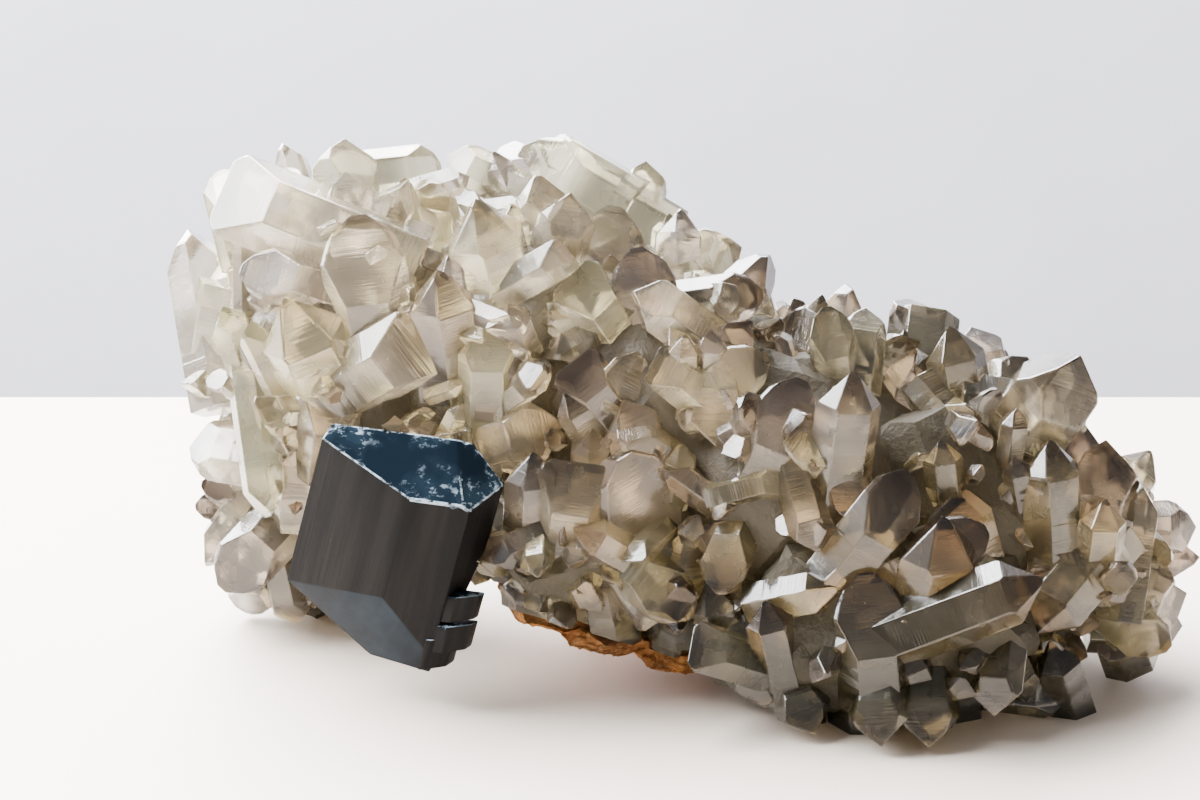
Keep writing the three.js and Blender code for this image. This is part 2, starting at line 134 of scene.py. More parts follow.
# Each lump is broken into flat faces, turned evenly all round it and then a
# little out of true, at these parts of its half sizes from its middle.
LUMP_FACES = 22
LUMP_REACH = (0.84, 1)
LUMP_UNEVENNESS = 0.5
GOLDEN_ANGLE = math.pi * (3 - math.sqrt(5))
# A place is buried where it lies within this part of a lump's half sizes.
BURIED = 0.97

# The crystals of the front: point u and v, root u and v, how far the point
# leans out, width, turn in degrees, tip form, and thickness where it is another
# than most have.
UPPER_LEFT = (
    ((-61.6, 34), (-38, 24.5), 1, 13.2, 10, CHISEL, 0.95),
    ((-55.5, 40), (-49, 27), -3, 12, 40, BLUNT, 0.8),
    ((-61, 37.5), (-58, 26), -2, 7, 0, SLANT),
    ((-50.4, 41), (-47, 31), -3, 5, 20, TOOTH),
    ((-40.6, 43.5), (-40.8, 29), -3, 11, 30, BLUNT, 0.8),
    ((-40.8, 37.8), (-39.5, 28), 5, 9.5, 10, BLUNT),
    ((-24.5, 37.6), (-38, 36), -6, 7.5, 0, SLANT),
    ((-31.2, 34.8), (-35, 27), 4, 6.5, 30, TOOTH),
    ((-26.9, 32.4), (-26.9, 29), 9, 8.5, 0, SLANT, 1),
    ((-20.5, 35.8), (-30, 33), 3, 5, 30, TOOTH),
    ((-25.4, 39.6), (-15, 34.6), 0, 6.8, 0, BLUNT),
    ((-20, 32.4), (-17, 19.5), 7, 12.5, 25, EVEN, 0.95),
    ((-39, 29), (-36.5, 13), 8, 12.5, 0, SLANT, 0.7),
    ((-57.5, 21.5), (-46, 18), 3, 8, 10, SLANT, 1),
    ((-57.2, 28), (-57, 16), 4, 3.4, 30, TOOTH, 0.8),
    ((-64.8, 27.2), (-61, 6), -4, 11, 20, TOOTH),
    ((-63.2, 1.5), (-61, 13), -3, 8.5, 10, BLUNT),
    ((-50.6, 16.6), (-45.5, 6.5), 8, 13.5, 0, EVEN, 0.95),
    ((-60.5, 15.8), (-57.5, 7), 3, 6, 30, BLUNT),
    ((-56.5, 12), (-52.5, 4), 5, 4.5, 0, TOOTH),
    ((-27, 10.4), (-39, 3.5), 7, 11.5, 20, CHISEL),
    ((-26, 21), (-24.5, 8), 7, 10.5, 30, EVEN, 0.95),
    ((-24, 23.8), (-23, 16), 4, 5, 0, EVEN),
    ((-53.2, -19), (-56.6, 6.5), 3, 7, 20, TOOTH, 0.55),
    ((-48.8, 1), (-55, -2.5), 3, 3, 0, BLUNT, 0.8),
    ((-67, -7), (-55, -9), -6, 10, 20, BLUNT, 0.7),
    ((-42.4, 2.6), (-43.5, -6), 5, 9.5, 10, CHISEL),
    ((-48.3, -7.5), (-48, -13.5), 8, 10, 0, BLUNT, 1),
    ((-50.5, -15.2), (-46.5, -22), 5, 7.5, 30, SLANT),
    ((-60.8, -30.2), (-50, -18.5), 4, 9.5, 0, SLANT),
    ((-63.2, -26), (-55, -15), -4, 7, 20, TOOTH),
    ((-56.8, -35.4), (-55, -27), -5, 7, 0, SLANT),
    ((-48.5, -36.8), (-50.5, -28), -3, 7, 20, BLUNT),
)
UPPER_MIDDLE = (
    ((-13.6, 42.8), (-13.2, 32), -5, 8.5, 0, BLUNT),
    ((-12.8, 40.2), (6, 29), 4, 9.5, 0, SLANT),
    ((-10, 41.7), (2, 34.5), -4, 7, 20, BLUNT, 0.8),
    ((-17.2, 39.9), (-14.4, 33), 2, 5, 30, EVEN),
    ((-7.4, 34.8), (-12, 28.5), 4, 6, 0, CHISEL),
    ((-11, 31), (-18, 30), 4, 4.4, 30, TOOTH),
    ((-4.3, 34), (-6.5, 24), 7, 8.5, 10, BLUNT, 0.95),
    ((0, 33.6), (1, 27), 3, 4, 30, EVEN),
    ((7.7, 39.3), (5.8, 27), 0, 7.6, 15, BLUNT, 0.8),
    ((11.2, 30), (10.6, 22), 3, 5, 0, EVEN),
    ((24.2, 24.6), (13, 21), -2, 10, 20, BLUNT),
    ((2.2, 30.2), (0.6, 20.5), 5, 11.5, 0, SLANT),
    ((-4.4, 23.8), (-16, 17), 4, 6.6, 30, CHISEL),
    ((-5, 20.3), (1, 11.5), 6, 9.5, 20, CHISEL),
    ((6.1, 23.6), (7.5, 14.5), 5, 9.6, 0, SLANT),
    ((4.6, 18.4), (15.5, 10.5), 4, 9, 30, BLUNT),
    ((26.2, 17), (12.5, 15), 2, 7.5, 0, SLANT),
    ((-8.6, 6.6), (5, 14.6), 5, 5.6, 20, TOOTH),
    ((-17.9, 12.8), (-18, 0), 6, 9, 0, BLUNT),
    ((-14.7, 15.4), (-12.4, 9.6), 5, 5.4, 30, EVEN),
    ((-8.6, 14.6), (-2.6, 9.6), 5, 5, 0, TOOTH),
)
MIDDLE = (
    ((-4.4, -3.6), (-18.6, -6.6), 6, 11.5, 10, BLUNT),
    ((-21.6, -0.3), (-24, -5), 4, 4, 30, EVEN),
    ((-18, 2.8), (-18.4, -3), 5, 5.6, 0, CHISEL),
    ((-8.2, 5.4), (-16, 0), 4, 5.6, 20, SLANT),
    ((-4.8, 6.4), (1, -1), 5, 8, 0, CHISEL),
    ((7, 6.2), (0.6, -1), 5, 8, 30, SLANT),
    ((26.6, 6.6), (16.8, 1.8), 4, 8, 0, SLANT),
    ((13.6, 10.6), (13.2, 4), 4, 5, 20, EVEN),
    ((18, 11.6), (17.6, 4), 4, 4.4, 0, BLUNT),
    ((22.4, 12.8), (21.4, 6), 3, 5.6, 30, CHISEL),
    ((8.2, 6.4), (16, 0.4), 5, 7, 20, CHISEL),
    ((-5.6, 2), (-1.6, -4.5), 5, 6.6, 0, EVEN),
    ((18.4, -8.6), (18.4, 2), 6, 11, 0, BLUNT),
    ((4, 1), (6, -7), 5, 8.5, 20, BLUNT),
    ((2.6, -4.6), (10, -9), 5, 6.6, 0, TOOTH),
    ((-1.3, -4.4), (-1.6, -11), 5, 6.6, 30, EVEN),
    ((-10.7, -8.2), (-11.2, -20), 6, 8.2, 20, EVEN),
    ((-3.6, -9.6), (-5, -20.5), 8, 10.4, 0, CHISEL),
    ((6.4, -12.5), (6.4, -17), 13, 13.5, 30, SLANT, 1),
    ((8.4, -7.4), (8.8, -12), 5, 4.6, 0, EVEN),
    ((13.2, -7), (12, -13.5), 5, 5.4, 30, EVEN),
    ((20.4, -9), (25, -6.5), 4, 4.6, 0, TOOTH),
    ((-19.6, -25.8), (-7.5, -21), 3, 6, 20, BLUNT, 0.8),
    ((-11.2, -25.9), (-11, -31.5), 5, 8.8, 0, EVEN),
    ((-5.8, -27.4), (0.8, -35.5), 4, 8, 20, CHISEL),
    ((-4.4, -20.4), (3.4, -25), 5, 7, 0, EVEN),
    ((0, -24.6), (1.8, -33.5), 5, 8, 30, EVEN),
    ((14.2, -34.2), (5.6, -27), 6, 8.6, 0, SLANT),
    ((14.9, -19.2), (13.6, -31.5), 8, 11.8, 20, EVEN, 0.95),
    ((19.6, -19.2), (21, -27), 6, 8, 0, CHISEL),
    ((18.8, -29.8), (21.6, -22), 7, 7.6, 30, SLANT),
    ((17.2, -28.8), (21, -39), 5, 8, 0, EVEN),
    ((3.4, -33.6), (4, -37.5), 3, 8, 20, BLUNT),
)
UPPER_RIGHT = (
    ((28, 22.2), (20.5, 15.5), -2, 7.5, 0, TOOTH),
    ((35.6, 17), (33.4, 10), 2, 5.4, 30, EVEN),
    ((36.6, 14.4), (37.6, 6), 4, 6.8, 0, SLANT),
    ((26, 12.2), (50, 3.6), 4, 10.5, 20, BLUNT, 0.8),
    ((42.8, 15.8), (41.6, 6), -2, 7, 0, BLUNT),
    ((48.2, 16.4), (53, 7), -2, 8.4, 0, TOOTH),
    ((48.8, 12.2), (50.4, 3.6), 4, 8.6, 30, BLUNT),
    ((56, 12), (58, 1), 4, 8.8, 0, EVEN),
    ((59.4, 13), (62.4, 1.6), -3, 8.6, 20, BLUNT),
    ((64.8, 8.2), (63.4, 1.6), -2, 5, 0, EVEN),
    ((48.4, -14.4), (51.2, 7), 6, 10.2, 0, BLUNT, 0.8),
    ((40.6, 4.8), (38, -14), 7, 9.4, 10, EVEN),
    ((32.2, 2.4), (27, -8.6), 6, 9.8, 0, SLANT),
    ((61.6, -9.4), (53.6, -0.6), 5, 6.2, 20, CHISEL),
    ((74.9, -2.8), (64, -1.6), -1, 9.6, 10, BLUNT),
    ((81.8, -4.8), (78.6, -19), 2, 12.4, 0, BLUNT, 0.95),
    ((72, -6.2), (72.8, -25), 6, 9.4, 20, EVEN),
    ((81, -15.8), (79.6, -27), 6, 7, 0, EVEN, 0.95),
    ((86.7, -12.6), (84, -30), 0, 7.6, 20, TOOTH),
    ((90, -23.6), (86, -34), 1, 8.4, 0, BLUNT),
    ((95.4, -31), (86, -33), 1, 9, 20, BLUNT),
    ((94.6, -36.4), (84, -36), 0, 8.4, 0, BLUNT),
    ((90.8, -41), (82, -34), 2, 8.4, 30, SLANT),
    ((66.4, -9), (67.6, -15.5), 4, 4.6, 0, EVEN),
)
LOWER_RIGHT = (
    ((39.7, -18), (39.7, -9), 6, 5.6, 0, SLANT),
    ((30.6, -4.2), (37.6, -11), 5, 7, 20, SLANT),
    ((35, -25.2), (31.2, -11.6), 6, 6.4, 0, BLUNT),
    ((50.2, -12.6), (39, -27), 6, 9.8, 20, SLANT),
    ((31.8, -12), (20.8, -14.8), 5, 5, 0, SLANT),
    ((38.2, -30.2), (28.8, -32), 6, 7, 20, EVEN),
    ((42.9, -29), (44, -42), 7, 10.6, 0, SLANT),
    ((55, -18.4), (53.4, -30), 7, 12, 20, EVEN),
    ((61.8, -21.2), (50, -26.5), 5, 8.6, 0, SLANT),
    ((58.4, -14.2), (60.4, -22), 3, 7, 30, EVEN),
    ((54.6, -6.2), (55.4, -14.5), 3, 5.8, 0, EVEN),
    ((71.2, -28.6), (47.6, -37.4), 6, 9.6, 0, EVEN, 0.95),
    ((68.8, -37.8), (78.6, -26), 6, 9.8, 30, EVEN),
    ((80, -28.2), (83.6, -38), 5, 8.2, 0, EVEN),
    ((81, -40.6), (86, -34), 5, 7.4, 20, SLANT),
    ((48.8, -39.4), (52.6, -48.5), 6, 6, 0, EVEN),
    ((62.8, -51.6), (64, -41), 5, 7.6, 20, BLUNT),
    ((64, -40.6), (69.4, -47), 6, 7.2, 0, CHISEL),
    ((76.6, -47.4), (66, -46.4), 4, 7.6, 0, BLUNT),
    ((72, -38.6), (74.6, -47), 5, 7.6, 30, EVEN),
    ((26.4, -32), (29, -43.5), 7, 7, 0, EVEN),
    ((32, -43.6), (33, -50.5), 6, 6.6, 20, SLANT),
    ((41.4, -34), (42.6, -52), 6, 10.6, 0, EVEN),
    ((34.6, -54.4), (31.6, -47), 6, 8, 0, BLUNT),
    ((44.8, -56.6), (45, -46), 6, 9, 20, BLUNT),
    ((52.6, -56.8), (52, -46), 6, 9.4, 0, BLUNT),
    ((14.2, -39), (27.4, -43), 5, 7.4, 20, CHISEL),
    ((26.8, -50.6), (24.4, -41), 4, 9, 0, BLUNT),
    ((56, -39), (57, -52), 5, 9, 20, EVEN),
)
FRONT_CRYSTALS = UPPER_LEFT + UPPER_MIDDLE + MIDDLE + UPPER_RIGHT + LOWER_RIGHT

# The crystals of the back, the top and the ends.
BACK_COUNT = 29
BACK_WIDTHS = (8, 14)
BACK_LENGTHS = (0.7, 1.6)
BACK_LEAN = 0.7
BACK_SEED = 11

# The small crystals: how much they lean, and their length and root for width 1.
SMALL_LEAN = 0.8
SMALL_LENGTHS = (0.6, 1.5)
SMALL_ROOT = 0.5
SMALL_THICKNESS = (0.75, 1)
SMALL_SEED = 7
# Those of the rear are larger, where the skin faces back, up to this limit.
REAR_FACING = 0.1
REAR_GROWTH = 1.7
REAR_LIMIT = 45

# The black crystal: its lower left front corner, the way it stands, its depth.
BLACK_CORNER = Vector((-50.3, -28.8, -12))
BLACK_UP = Vector((0.285, 1, 0.37))
BLACK_RIGHT = Vector((0.87, -0.39, 0.29))
BLACK_DEPTH = 12.6
# Its other upright faces: across, back, reach.
BLACK_SIDES = (
    (-0.564, 0.826, 4.5), (0.707, 0.707, 28), (0.351, -0.936, 6.22), (0.985, -0.175, 24.9),
)
# Its slanting end faces: height at the corner, rise across, rise backwards.
BLACK_TOP_FACES = (
    (25, -0.211, 0.95), (27.2, -0.281, 0.798), (36.5, -0.655, 0.476), (28.9, 0.39, -0.6),
)
BLACK_FOOT_FACES = (
    (0, 0.24, -2.9), (0, -0.605, 0.3), (-21.6, 0.43, 0.3), (-22, 0, 3.08),
)
# Two faces with normals as alike as this are the same face.
SAME_FACE = 0.995
# The small ones on its flank: right, front, foot, top at the middle of their width.
BLACK_SMALL = ((30.2, 4, 3.2, 7.6), (30.4, 3.5, -2, 2.6), (28.2, 2.9, -5, 0.2))
SMALL_LEFT = 24.5
SMALL_MIDDLE = 28
SMALL_REAR = 9
SMALL_CORNER = 2
SMALL_TOP_RISE = 0.3
SMALL_FOOT_RISE = 0.35

# The rusty crust under the arch, as flat lumps.
CRUST = (
    ((-7.5, 37, 11.6), (10, 16, 2.9)),
    ((2, 35, 8.4), (11, 17, 2.9)),
    ((12.5, 32, 5.8), (10, 15, 2.9)),
)

# The arch over the crust's front rim: no quartz hangs below these two lines,
# each given by a place on it and its fall per mm across.
ARCH_LINES = ((-11.2, -35.6, 0.3), (13.6, -43, 0.74))
ARCH_LEFT = -24
ARCH_REACH = 60

# Colours that aren't in the panel: each is laid over the piece's own ones.
# Painted shade: a dark colour laid on the buried roots of the crystals and on the massive quartz
# between them, where shade falls in the recesses.
ROOT_SHADE_COLOUR = (0.075, 0.066, 0.042, 1)
STAIN_COLOUR = (0.36, 0.29, 0.14, 1)
WARM_HUE = (1, 0.99, 0.84, 1)
COOL_HUE = (0.95, 0.89, 1, 1)
CLEAR_COLOUR = (0.84, 0.8, 0.7, 1)
CLEAR_DENSITY = 55
# The quartz darkens along this slope, from 0 to 1, starting from this value: partly its own change
# of tone, partly painted shade on the side away from the window light.
TONE_AND_SHADE_SLOPE = (3.5, 0.0, -8.0)
TONE_AND_SHADE_START = 0.83
GREY_BAND = (0.016, 0.015, 0.0145, 1)
# Painted reflection: lighter blue patches of the sky reflected in the black crystal's end faces.
SKY_REFLECTION_PATCH = (0.035, 0.06, 0.085, 1)
# Partly painted highlight: the bluish white of chipped spots and of painted glints where light
# catches the top's rims.
CHIP_AND_GLINT_COLOUR = (0.5, 0.6, 0.68, 1)
GRIT_COLOUR = (0.8, 0.5, 0.22, 1)
ROOM_COLOUR = (0.88, 0.89, 0.94, 1)


class QuartzSettings(PropertyGroup):
    """What a user can change on the quartz."""

    edge: FloatProperty(
        name="Edge wear",
        description="Width of the rounding on a crystal's edges, for one of width 1",
        default=0.028, min=0.005, max=0.08)
    step: FloatProperty(
        name="Growth step",
        description="How much wider a crystal gets at each growth step down its length",
        default=0.01, min=0, max=0.06)
    small_count: IntProperty(
        name="Small crystals",
        description="Number of small crystals in the gaps between the large ones",
        default=380, min=0, max=800)
    rear_count: IntProperty(
        name="Small crystals at the rear",
        description="Number of further small crystals on the rear",
        default=170, min=0, max=600)
    small_widths: FloatVectorProperty(
        name="Small widths",
        description="Least and greatest width of the small crystals",
        default=(0.0024, 0.0056), size=2, unit="LENGTH", subtype="NONE")
    rock_grain: FloatProperty(
        name="Rock grain",
        description="Height of the broken relief on the massive quartz",
        default=0.0022, min=0, max=0.01, unit="LENGTH", subtype="DISTANCE")
    pale: FloatVectorProperty(
        name="Pale quartz",
        description="Colour of the clear, pale quartz of the upper left",
        default=(0.96, 0.93, 0.78), size=3, min=0, max=1, subtype="COLOR")
    beige: FloatVectorProperty(
        name="Grey-beige quartz",
        description="Colour of the cloudy quartz of the middle",
        default=(0.42, 0.38, 0.3), size=3, min=0, max=1, subtype="COLOR")
    olive: FloatVectorProperty(
        name="Olive quartz",
        description="Colour of the darker quartz of the lower right",
        default=(0.15, 0.138, 0.09), size=3, min=0, max=1, subtype="COLOR")
    smoke: FloatVectorProperty(
        name="Smoky tips",
        description="Colour of the smoky tips",
        default=(0.15, 0.09, 0.065), size=3, min=0, max=1, subtype="COLOR")


class BlackCrystalSettings(PropertyGroup):
    """What a user can change on the black crystal."""

    edge: FloatProperty(
        name="Edge wear",
        description="Width of the rounding on its edges",
        default=0.00035, min=0.0001, max=0.002, unit="LENGTH", subtype="DISTANCE")
    chips: IntProperty(
        name="Chips",
        description="Number of chips knocked out of the edges of its top",
        default=46, min=0, max=200)
    colour: FloatVectorProperty(
        name="Body",
        description="Colour of its grooved sides",
        default=(0.007, 0.0065, 0.007), size=3, min=0, max=1, subtype="COLOR")
    # Painted reflection: the blue tint of the end faces stands in for the sky reflected in them.
    end_reflection_colour: FloatVectorProperty(
        name="Ends",
        description="Colour of its slanting end faces",
        default=(0.012, 0.022, 0.034), size=3, min=0, max=1, subtype="COLOR")


class RustyRockSettings(PropertyGroup):
    """What a user can change on the crust of rusty rock."""

    relief: FloatProperty(
        name="Relief",
        description="Height of the crumbly relief",
        default=0.0012, min=0, max=0.004, unit="LENGTH", subtype="DISTANCE")
    rust: FloatVectorProperty(
        name="Rust",
        description="Colour of the freshest rust",
        default=(0.48, 0.21, 0.07), size=3, min=0, max=1, subtype="COLOR")
    brown: FloatVectorProperty(
        name="Brown",
        description="Colour of the weathered rock",
        default=(0.22, 0.1, 0.045), size=3, min=0, max=1, subtype="COLOR")


class StageSettings(PropertyGroup):
    """What a user can change on the floor, the wall and the lights."""

    floor: FloatVectorProperty(
        name="Floor",
        description="Colour of the floor",
        default=(0.88, 0.78, 0.68), size=3, min=0, max=1, subtype="COLOR")
    wall: FloatVectorProperty(
        name="Wall",
        description="Colour of the backdrop",
        default=(0.83, 0.82, 0.87), size=3, min=0, max=1, subtype="COLOR")
    glow: FloatProperty(
        name="Wall glow",
        description="How bright the backdrop is by itself",
        default=0.42, min=0, max=3)
    window: FloatProperty(
        name="Window light",
        description="Strength of the large soft light behind on the left",
        default=280.0, min=0, max=500, unit="POWER")
    sky: FloatProperty(
        name="Sky light",
        description="Strength of the bluish light on the left",
        default=4.0, min=0, max=200, unit="POWER")
    fill: FloatProperty(
        name="Fill light",
        description="Strength of the soft light in front",
        default=1.0, min=0, max=200, unit="POWER")


# Places
def from_sight(u, v, w):
    """A place on the front, as a point in millimetres in the frame."""
    nearer = 1 - w / SIGHT_DISTANCE
    across = u * nearer
    up = v * nearer
    sine, cosine = math.sin(SIGHT_TILT), math.cos(SIGHT_TILT)
    place = Vector((across, up * sine - w * cosine + FRONT_SETBACK,
                    up * cosine + w * sine + FRONT_HEIGHT))
    return place + MIDDLE_OF_BOX


def sight_direction(direction):
    """A direction given as u, v, w, turned into the frame."""
    u, v, w = direction
    sine, cosine = math.sin(SIGHT_TILT), math.cos(SIGHT_TILT)
    return Vector((u, v * sine - w * cosine, v * cosine + w * sine))


def lump_middle(lump):
    return Vector(lump[0]) + MIDDLE_OF_BOX


def times(a, b):
    """Two vectors multiplied number by number."""
    return Vector([one * other for one, other in zip(a, b)])


def on_unit_ball(place, middle, half):
    """Where a place lies when the lump round it is made into a ball of size 1."""
    return Vector([(far - near) / size for far, near, size in zip(place, middle, half)])


def between(span, share):
    return span[0] + (span[1] - span[0]) * share


def on_ball(height, around):
    """The direction to a place on a ball of size 1."""
    ring = math.sqrt(1 - height * height)
    return Vector((math.cos(around) * ring, math.sin(around) * ring, height))


def surface_depth(u, v):
    """How near the eye the mass lies along the sight line through u, v."""
    start = from_sight(u, v, 0)
    step = from_sight(u, v, 1) - start
    best_hit, best_miss = None, None
    for lump in LUMPS:
        middle, half = lump_middle(lump), lump[1]
        start_in = on_unit_ball(start, middle, half)
        step_in = on_unit_ball(step, NOWHERE, half)
        a = step_in.length_squared
        b = start_in.dot(step_in)
        room = b * b - a * (start_in.length_squared - 1)
        depth = (-b + math.sqrt(max(room, 0))) / a
        if room > 0 and (best_hit is None or depth > best_hit):
            best_hit = depth
        if best_miss is None or room / a > best_miss[0]:
            best_miss = (room / a, depth)
    return best_miss[1] if best_hit is None else best_hit


def number_stream(seed):
    """Numbers between 0 and 1, the same every time."""
    state = seed
    while True:
        state = (state * 1664525 + 1013904223) % 4294967296
        yield state / 4294967296


def is_buried(place):
    """Whether a place lies well inside a lump."""
    return any(on_unit_ball(place, lump_middle(lump), lump[1]).length < BURIED for lump in LUMPS)


def front_places():
    """Root, point, width, turn, form and thickness of each crystal in front."""
    places = []
    for point, root, out, width, turn, form, *thickness in FRONT_CRYSTALS:
        depth = surface_depth(*root) - ROOT_DEPTH * width
        places.append((from_sight(*root, depth), from_sight(*point, depth + out),
                       width, turn, form, thickness[0] if thickness else THICKNESS))
    return places


def back_places():
    """The same for the crystals that stand square out of the rest of the mass."""
    numbers = number_stream(BACK_SEED)
    places = []
    while len(places) < BACK_COUNT:
        lump = LUMPS[int(next(numbers) * (len(LUMPS) - 1))]
        height = next(numbers) * 2 - 1
        around = next(numbers) * math.pi * 2
        width = between(BACK_WIDTHS, next(numbers))
        length = width * between(BACK_LENGTHS, next(numbers))
        lean = Vector((next(numbers) - 0.5, next(numbers) - 0.5, next(numbers) - 0.5))
        turn = next(numbers) * 60
        form = TIP_FORMS[int(next(numbers) * len(TIP_FORMS))]
        outward = on_ball(height, around)
        skin = lump_middle(lump) + times(outward, lump[1])
        faces_front = outward.y < 0.1 and not (outward.z > 0.75 and outward.y > -0.25)
        if faces_front or outward.z < -0.55 or is_buried(skin):
            continue
        direction = on_unit_ball(outward, NOWHERE, lump[1]).normalized()
        direction = (direction + lean * BACK_LEAN).normalized()
        root = skin - direction * (ROOT_DEPTH * width)
        places.append((root, root + direction * length, width, turn, form, THICKNESS))
    return places


def small_places(count, rear_count, widths):
    """The same for small crystals strewn over the whole skin of the mass, then its rear."""
    rand = random.Random(SMALL_SEED)
    places = []
    while len(places) < count + rear_count:
        at_rear = len(places) >= count
        lump = rand.choice(LUMPS)
        outward = Vector((rand.gauss(0, 1), rand.gauss(0, 1), rand.gauss(0, 1))).normalized()
        skin = lump_middle(lump) + times(outward, lump[1])
        if is_buried(skin) or skin.z < 5 or (at_rear and outward.y < REAR_FACING):
            continue
        lean = Vector((rand.uniform(-1, 1), rand.uniform(-1, 1), rand.uniform(-1, 1)))
        direction = on_unit_ball(outward, NOWHERE, lump[1]).normalized()
        direction = (direction + lean * SMALL_LEAN).normalized()
        width = rand.uniform(*widths) / MM * (REAR_GROWTH if at_rear else 1)
        point = skin + direction * width * rand.uniform(*SMALL_LENGTHS)
        if at_rear and point.y > REAR_LIMIT:
            continue
        places.append((skin - direction * width * SMALL_ROOT, point, width, rand.uniform(0, 60),
                       rand.choice(TIP_FORMS), rand.uniform(*SMALL_THICKNESS)))
    return places


# Modelling helpers
def clear_selection():
    if bpy.context.mode != "OBJECT":
        bpy.ops.object.mode_set(mode="OBJECT")
    bpy.ops.object.select_all(action="DESELECT")


def make_active(piece):
    clear_selection()
    piece.select_set(True)
    bpy.context.view_layer.objects.active = piece


def apply_modifier(piece, kind, **values):
    """Adds one modifier to a piece and applies it."""
    make_active(piece)
    modifier = piece.modifiers.new("shape", kind)
    for name, value in values.items():
        setattr(modifier, name, value)
    bpy.ops.object.modifier_apply(modifier=modifier.name)


def unlink(pieces):
    """Takes pieces out of the collections that they are in."""
    for piece in pieces:
        for collection in piece.users_collection:
            collection.objects.unlink(piece)


def place_array(mesh):
    """The places of a mesh's vertices, as rows."""
    places = np.empty(len(mesh.vertices) * 3)
    mesh.vertices.foreach_get("co", places)
    return places.reshape(-1, 3)


def clear_layers(mesh):
    while mesh.uv_layers:
        mesh.uv_layers.remove(mesh.uv_layers[0])


def write_layers(mesh, growth, tint):
    """Writes the two layers of numbers that the materials read."""
    for name, values in (("growth", growth), ("tint", tint)):
        layer = mesh.uv_layers.get(name) or mesh.uv_layers.new(name=name)
        layer.uv.foreach_set("vector", values.ravel())


def cut_away(planes):
    """In edit mode, cuts off all that lies beyond each plane and closes the cut."""
    for place, normal in planes:
        bpy.ops.mesh.select_all(action="SELECT")
        bpy.ops.mesh.bisect(plane_co=place, plane_no=normal, use_fill=True, clear_outer=True)


def crystal_template(form, edge, step, seed, is_small):
    """A hexagonal crystal of width 1 with its point at the origin, standing up."""
    rand = random.Random(seed)
    clear_selection()
    bpy.ops.mesh.primitive_cylinder_add(
        vertices=6, radius=0.5 / math.cos(math.pi / 6), depth=TEMPLATE_LENGTH + TEMPLATE_TOP,
        location=(0, 0, (TEMPLATE_TOP - TEMPLATE_LENGTH) / 2))
    crystal = bpy.context.object
    bpy.ops.object.transform_apply(location=True, rotation=True, scale=True)
    bpy.ops.object.mode_set(mode="EDIT")
    tips = []
    for face in range(6):
        around = math.radians(60 * face)
        normal = (math.cos(around) * math.sin(TIP_SLOPE), math.sin(around) * math.sin(TIP_SLOPE),
                  math.cos(TIP_SLOPE))
        tips.append(((0, 0, form[face]), normal))
    cut_away(tips)
    bpy.ops.mesh.select_all(action="SELECT")
    bpy.ops.mesh.bevel(offset=edge, segments=1 if is_small else 2, profile=0.6, affect="EDGES")
    if not is_small:
        low = -TIP_ZONE + FIRST_STEP
        while low > -TEMPLATE_LENGTH + LAST_STEP:
            for height in (low, low - STEP_HEIGHT):
                bpy.ops.mesh.select_all(action="SELECT")
                bpy.ops.mesh.bisect(plane_co=(0, 0, height), plane_no=(0, 0, 1))
            bpy.ops.mesh.select_all(action="DESELECT")
            bpy.ops.object.mode_set(mode="OBJECT")
            for vertex in crystal.data.vertices:
                vertex.select = vertex.co.z < low - 0.02
            bpy.ops.object.mode_set(mode="EDIT")
            wider = 1 + rand.uniform(-0.2, 1) * step
            bpy.ops.transform.resize(value=(wider, wider, 1), center_override=(0, 0, 0))
            low -= rand.uniform(*STEP_GAPS)
    bpy.ops.object.mode_set(mode="OBJECT")
    return crystal


def corner_places(mesh):
    """The place of each face corner's vertex, and the normal of its face."""
    index = np.empty(len(mesh.loops), dtype=np.int32)
    mesh.loops.foreach_get("vertex_index", index)
    totals = np.empty(len(mesh.polygons), dtype=np.int32)
    mesh.polygons.foreach_get("loop_total", totals)
    normals = np.empty(len(mesh.polygons) * 3)
    mesh.polygons.foreach_get("normal", normals)
    return place_array(mesh)[index], np.repeat(normals.reshape(-1, 3), totals, axis=0)


def write_growth(mesh, width, tone, shift):
    """Writes where each corner lies along and around the crystal, its tip and tone."""
    places, normals = corner_places(mesh)
    around = np.round(np.arctan2(normals[:, 1], normals[:, 0]) / (math.pi / 3))
    angle = around * (math.pi / 3)
    across = -places[:, 0] * np.sin(angle) + places[:, 1] * np.cos(angle)
    growth = np.empty((len(places), 2))
    growth[:, 0] = (across + around * SIDE_SHIFT) * width * GROWTH_SCALE + shift[0]
    growth[:, 1] = places[:, 2] * width * GROWTH_SCALE + shift[1]
    tint = np.empty((len(places), 2))
    tint[:, 0] = np.clip(1 + places[:, 2] / TINTED_LENGTH, 0, 1)
    tint[:, 1] = tone
    write_layers(mesh, growth, tint)


def write_rock(mesh):
    """The same two layers on massive quartz, which has no tip."""
    places, _ = corner_places(mesh)
    clear_layers(mesh)
    tint = np.zeros((len(places), 2))
    tint[:, 1] = ROCK_TONE
    write_layers(mesh, places[:, :2] * 100, tint)


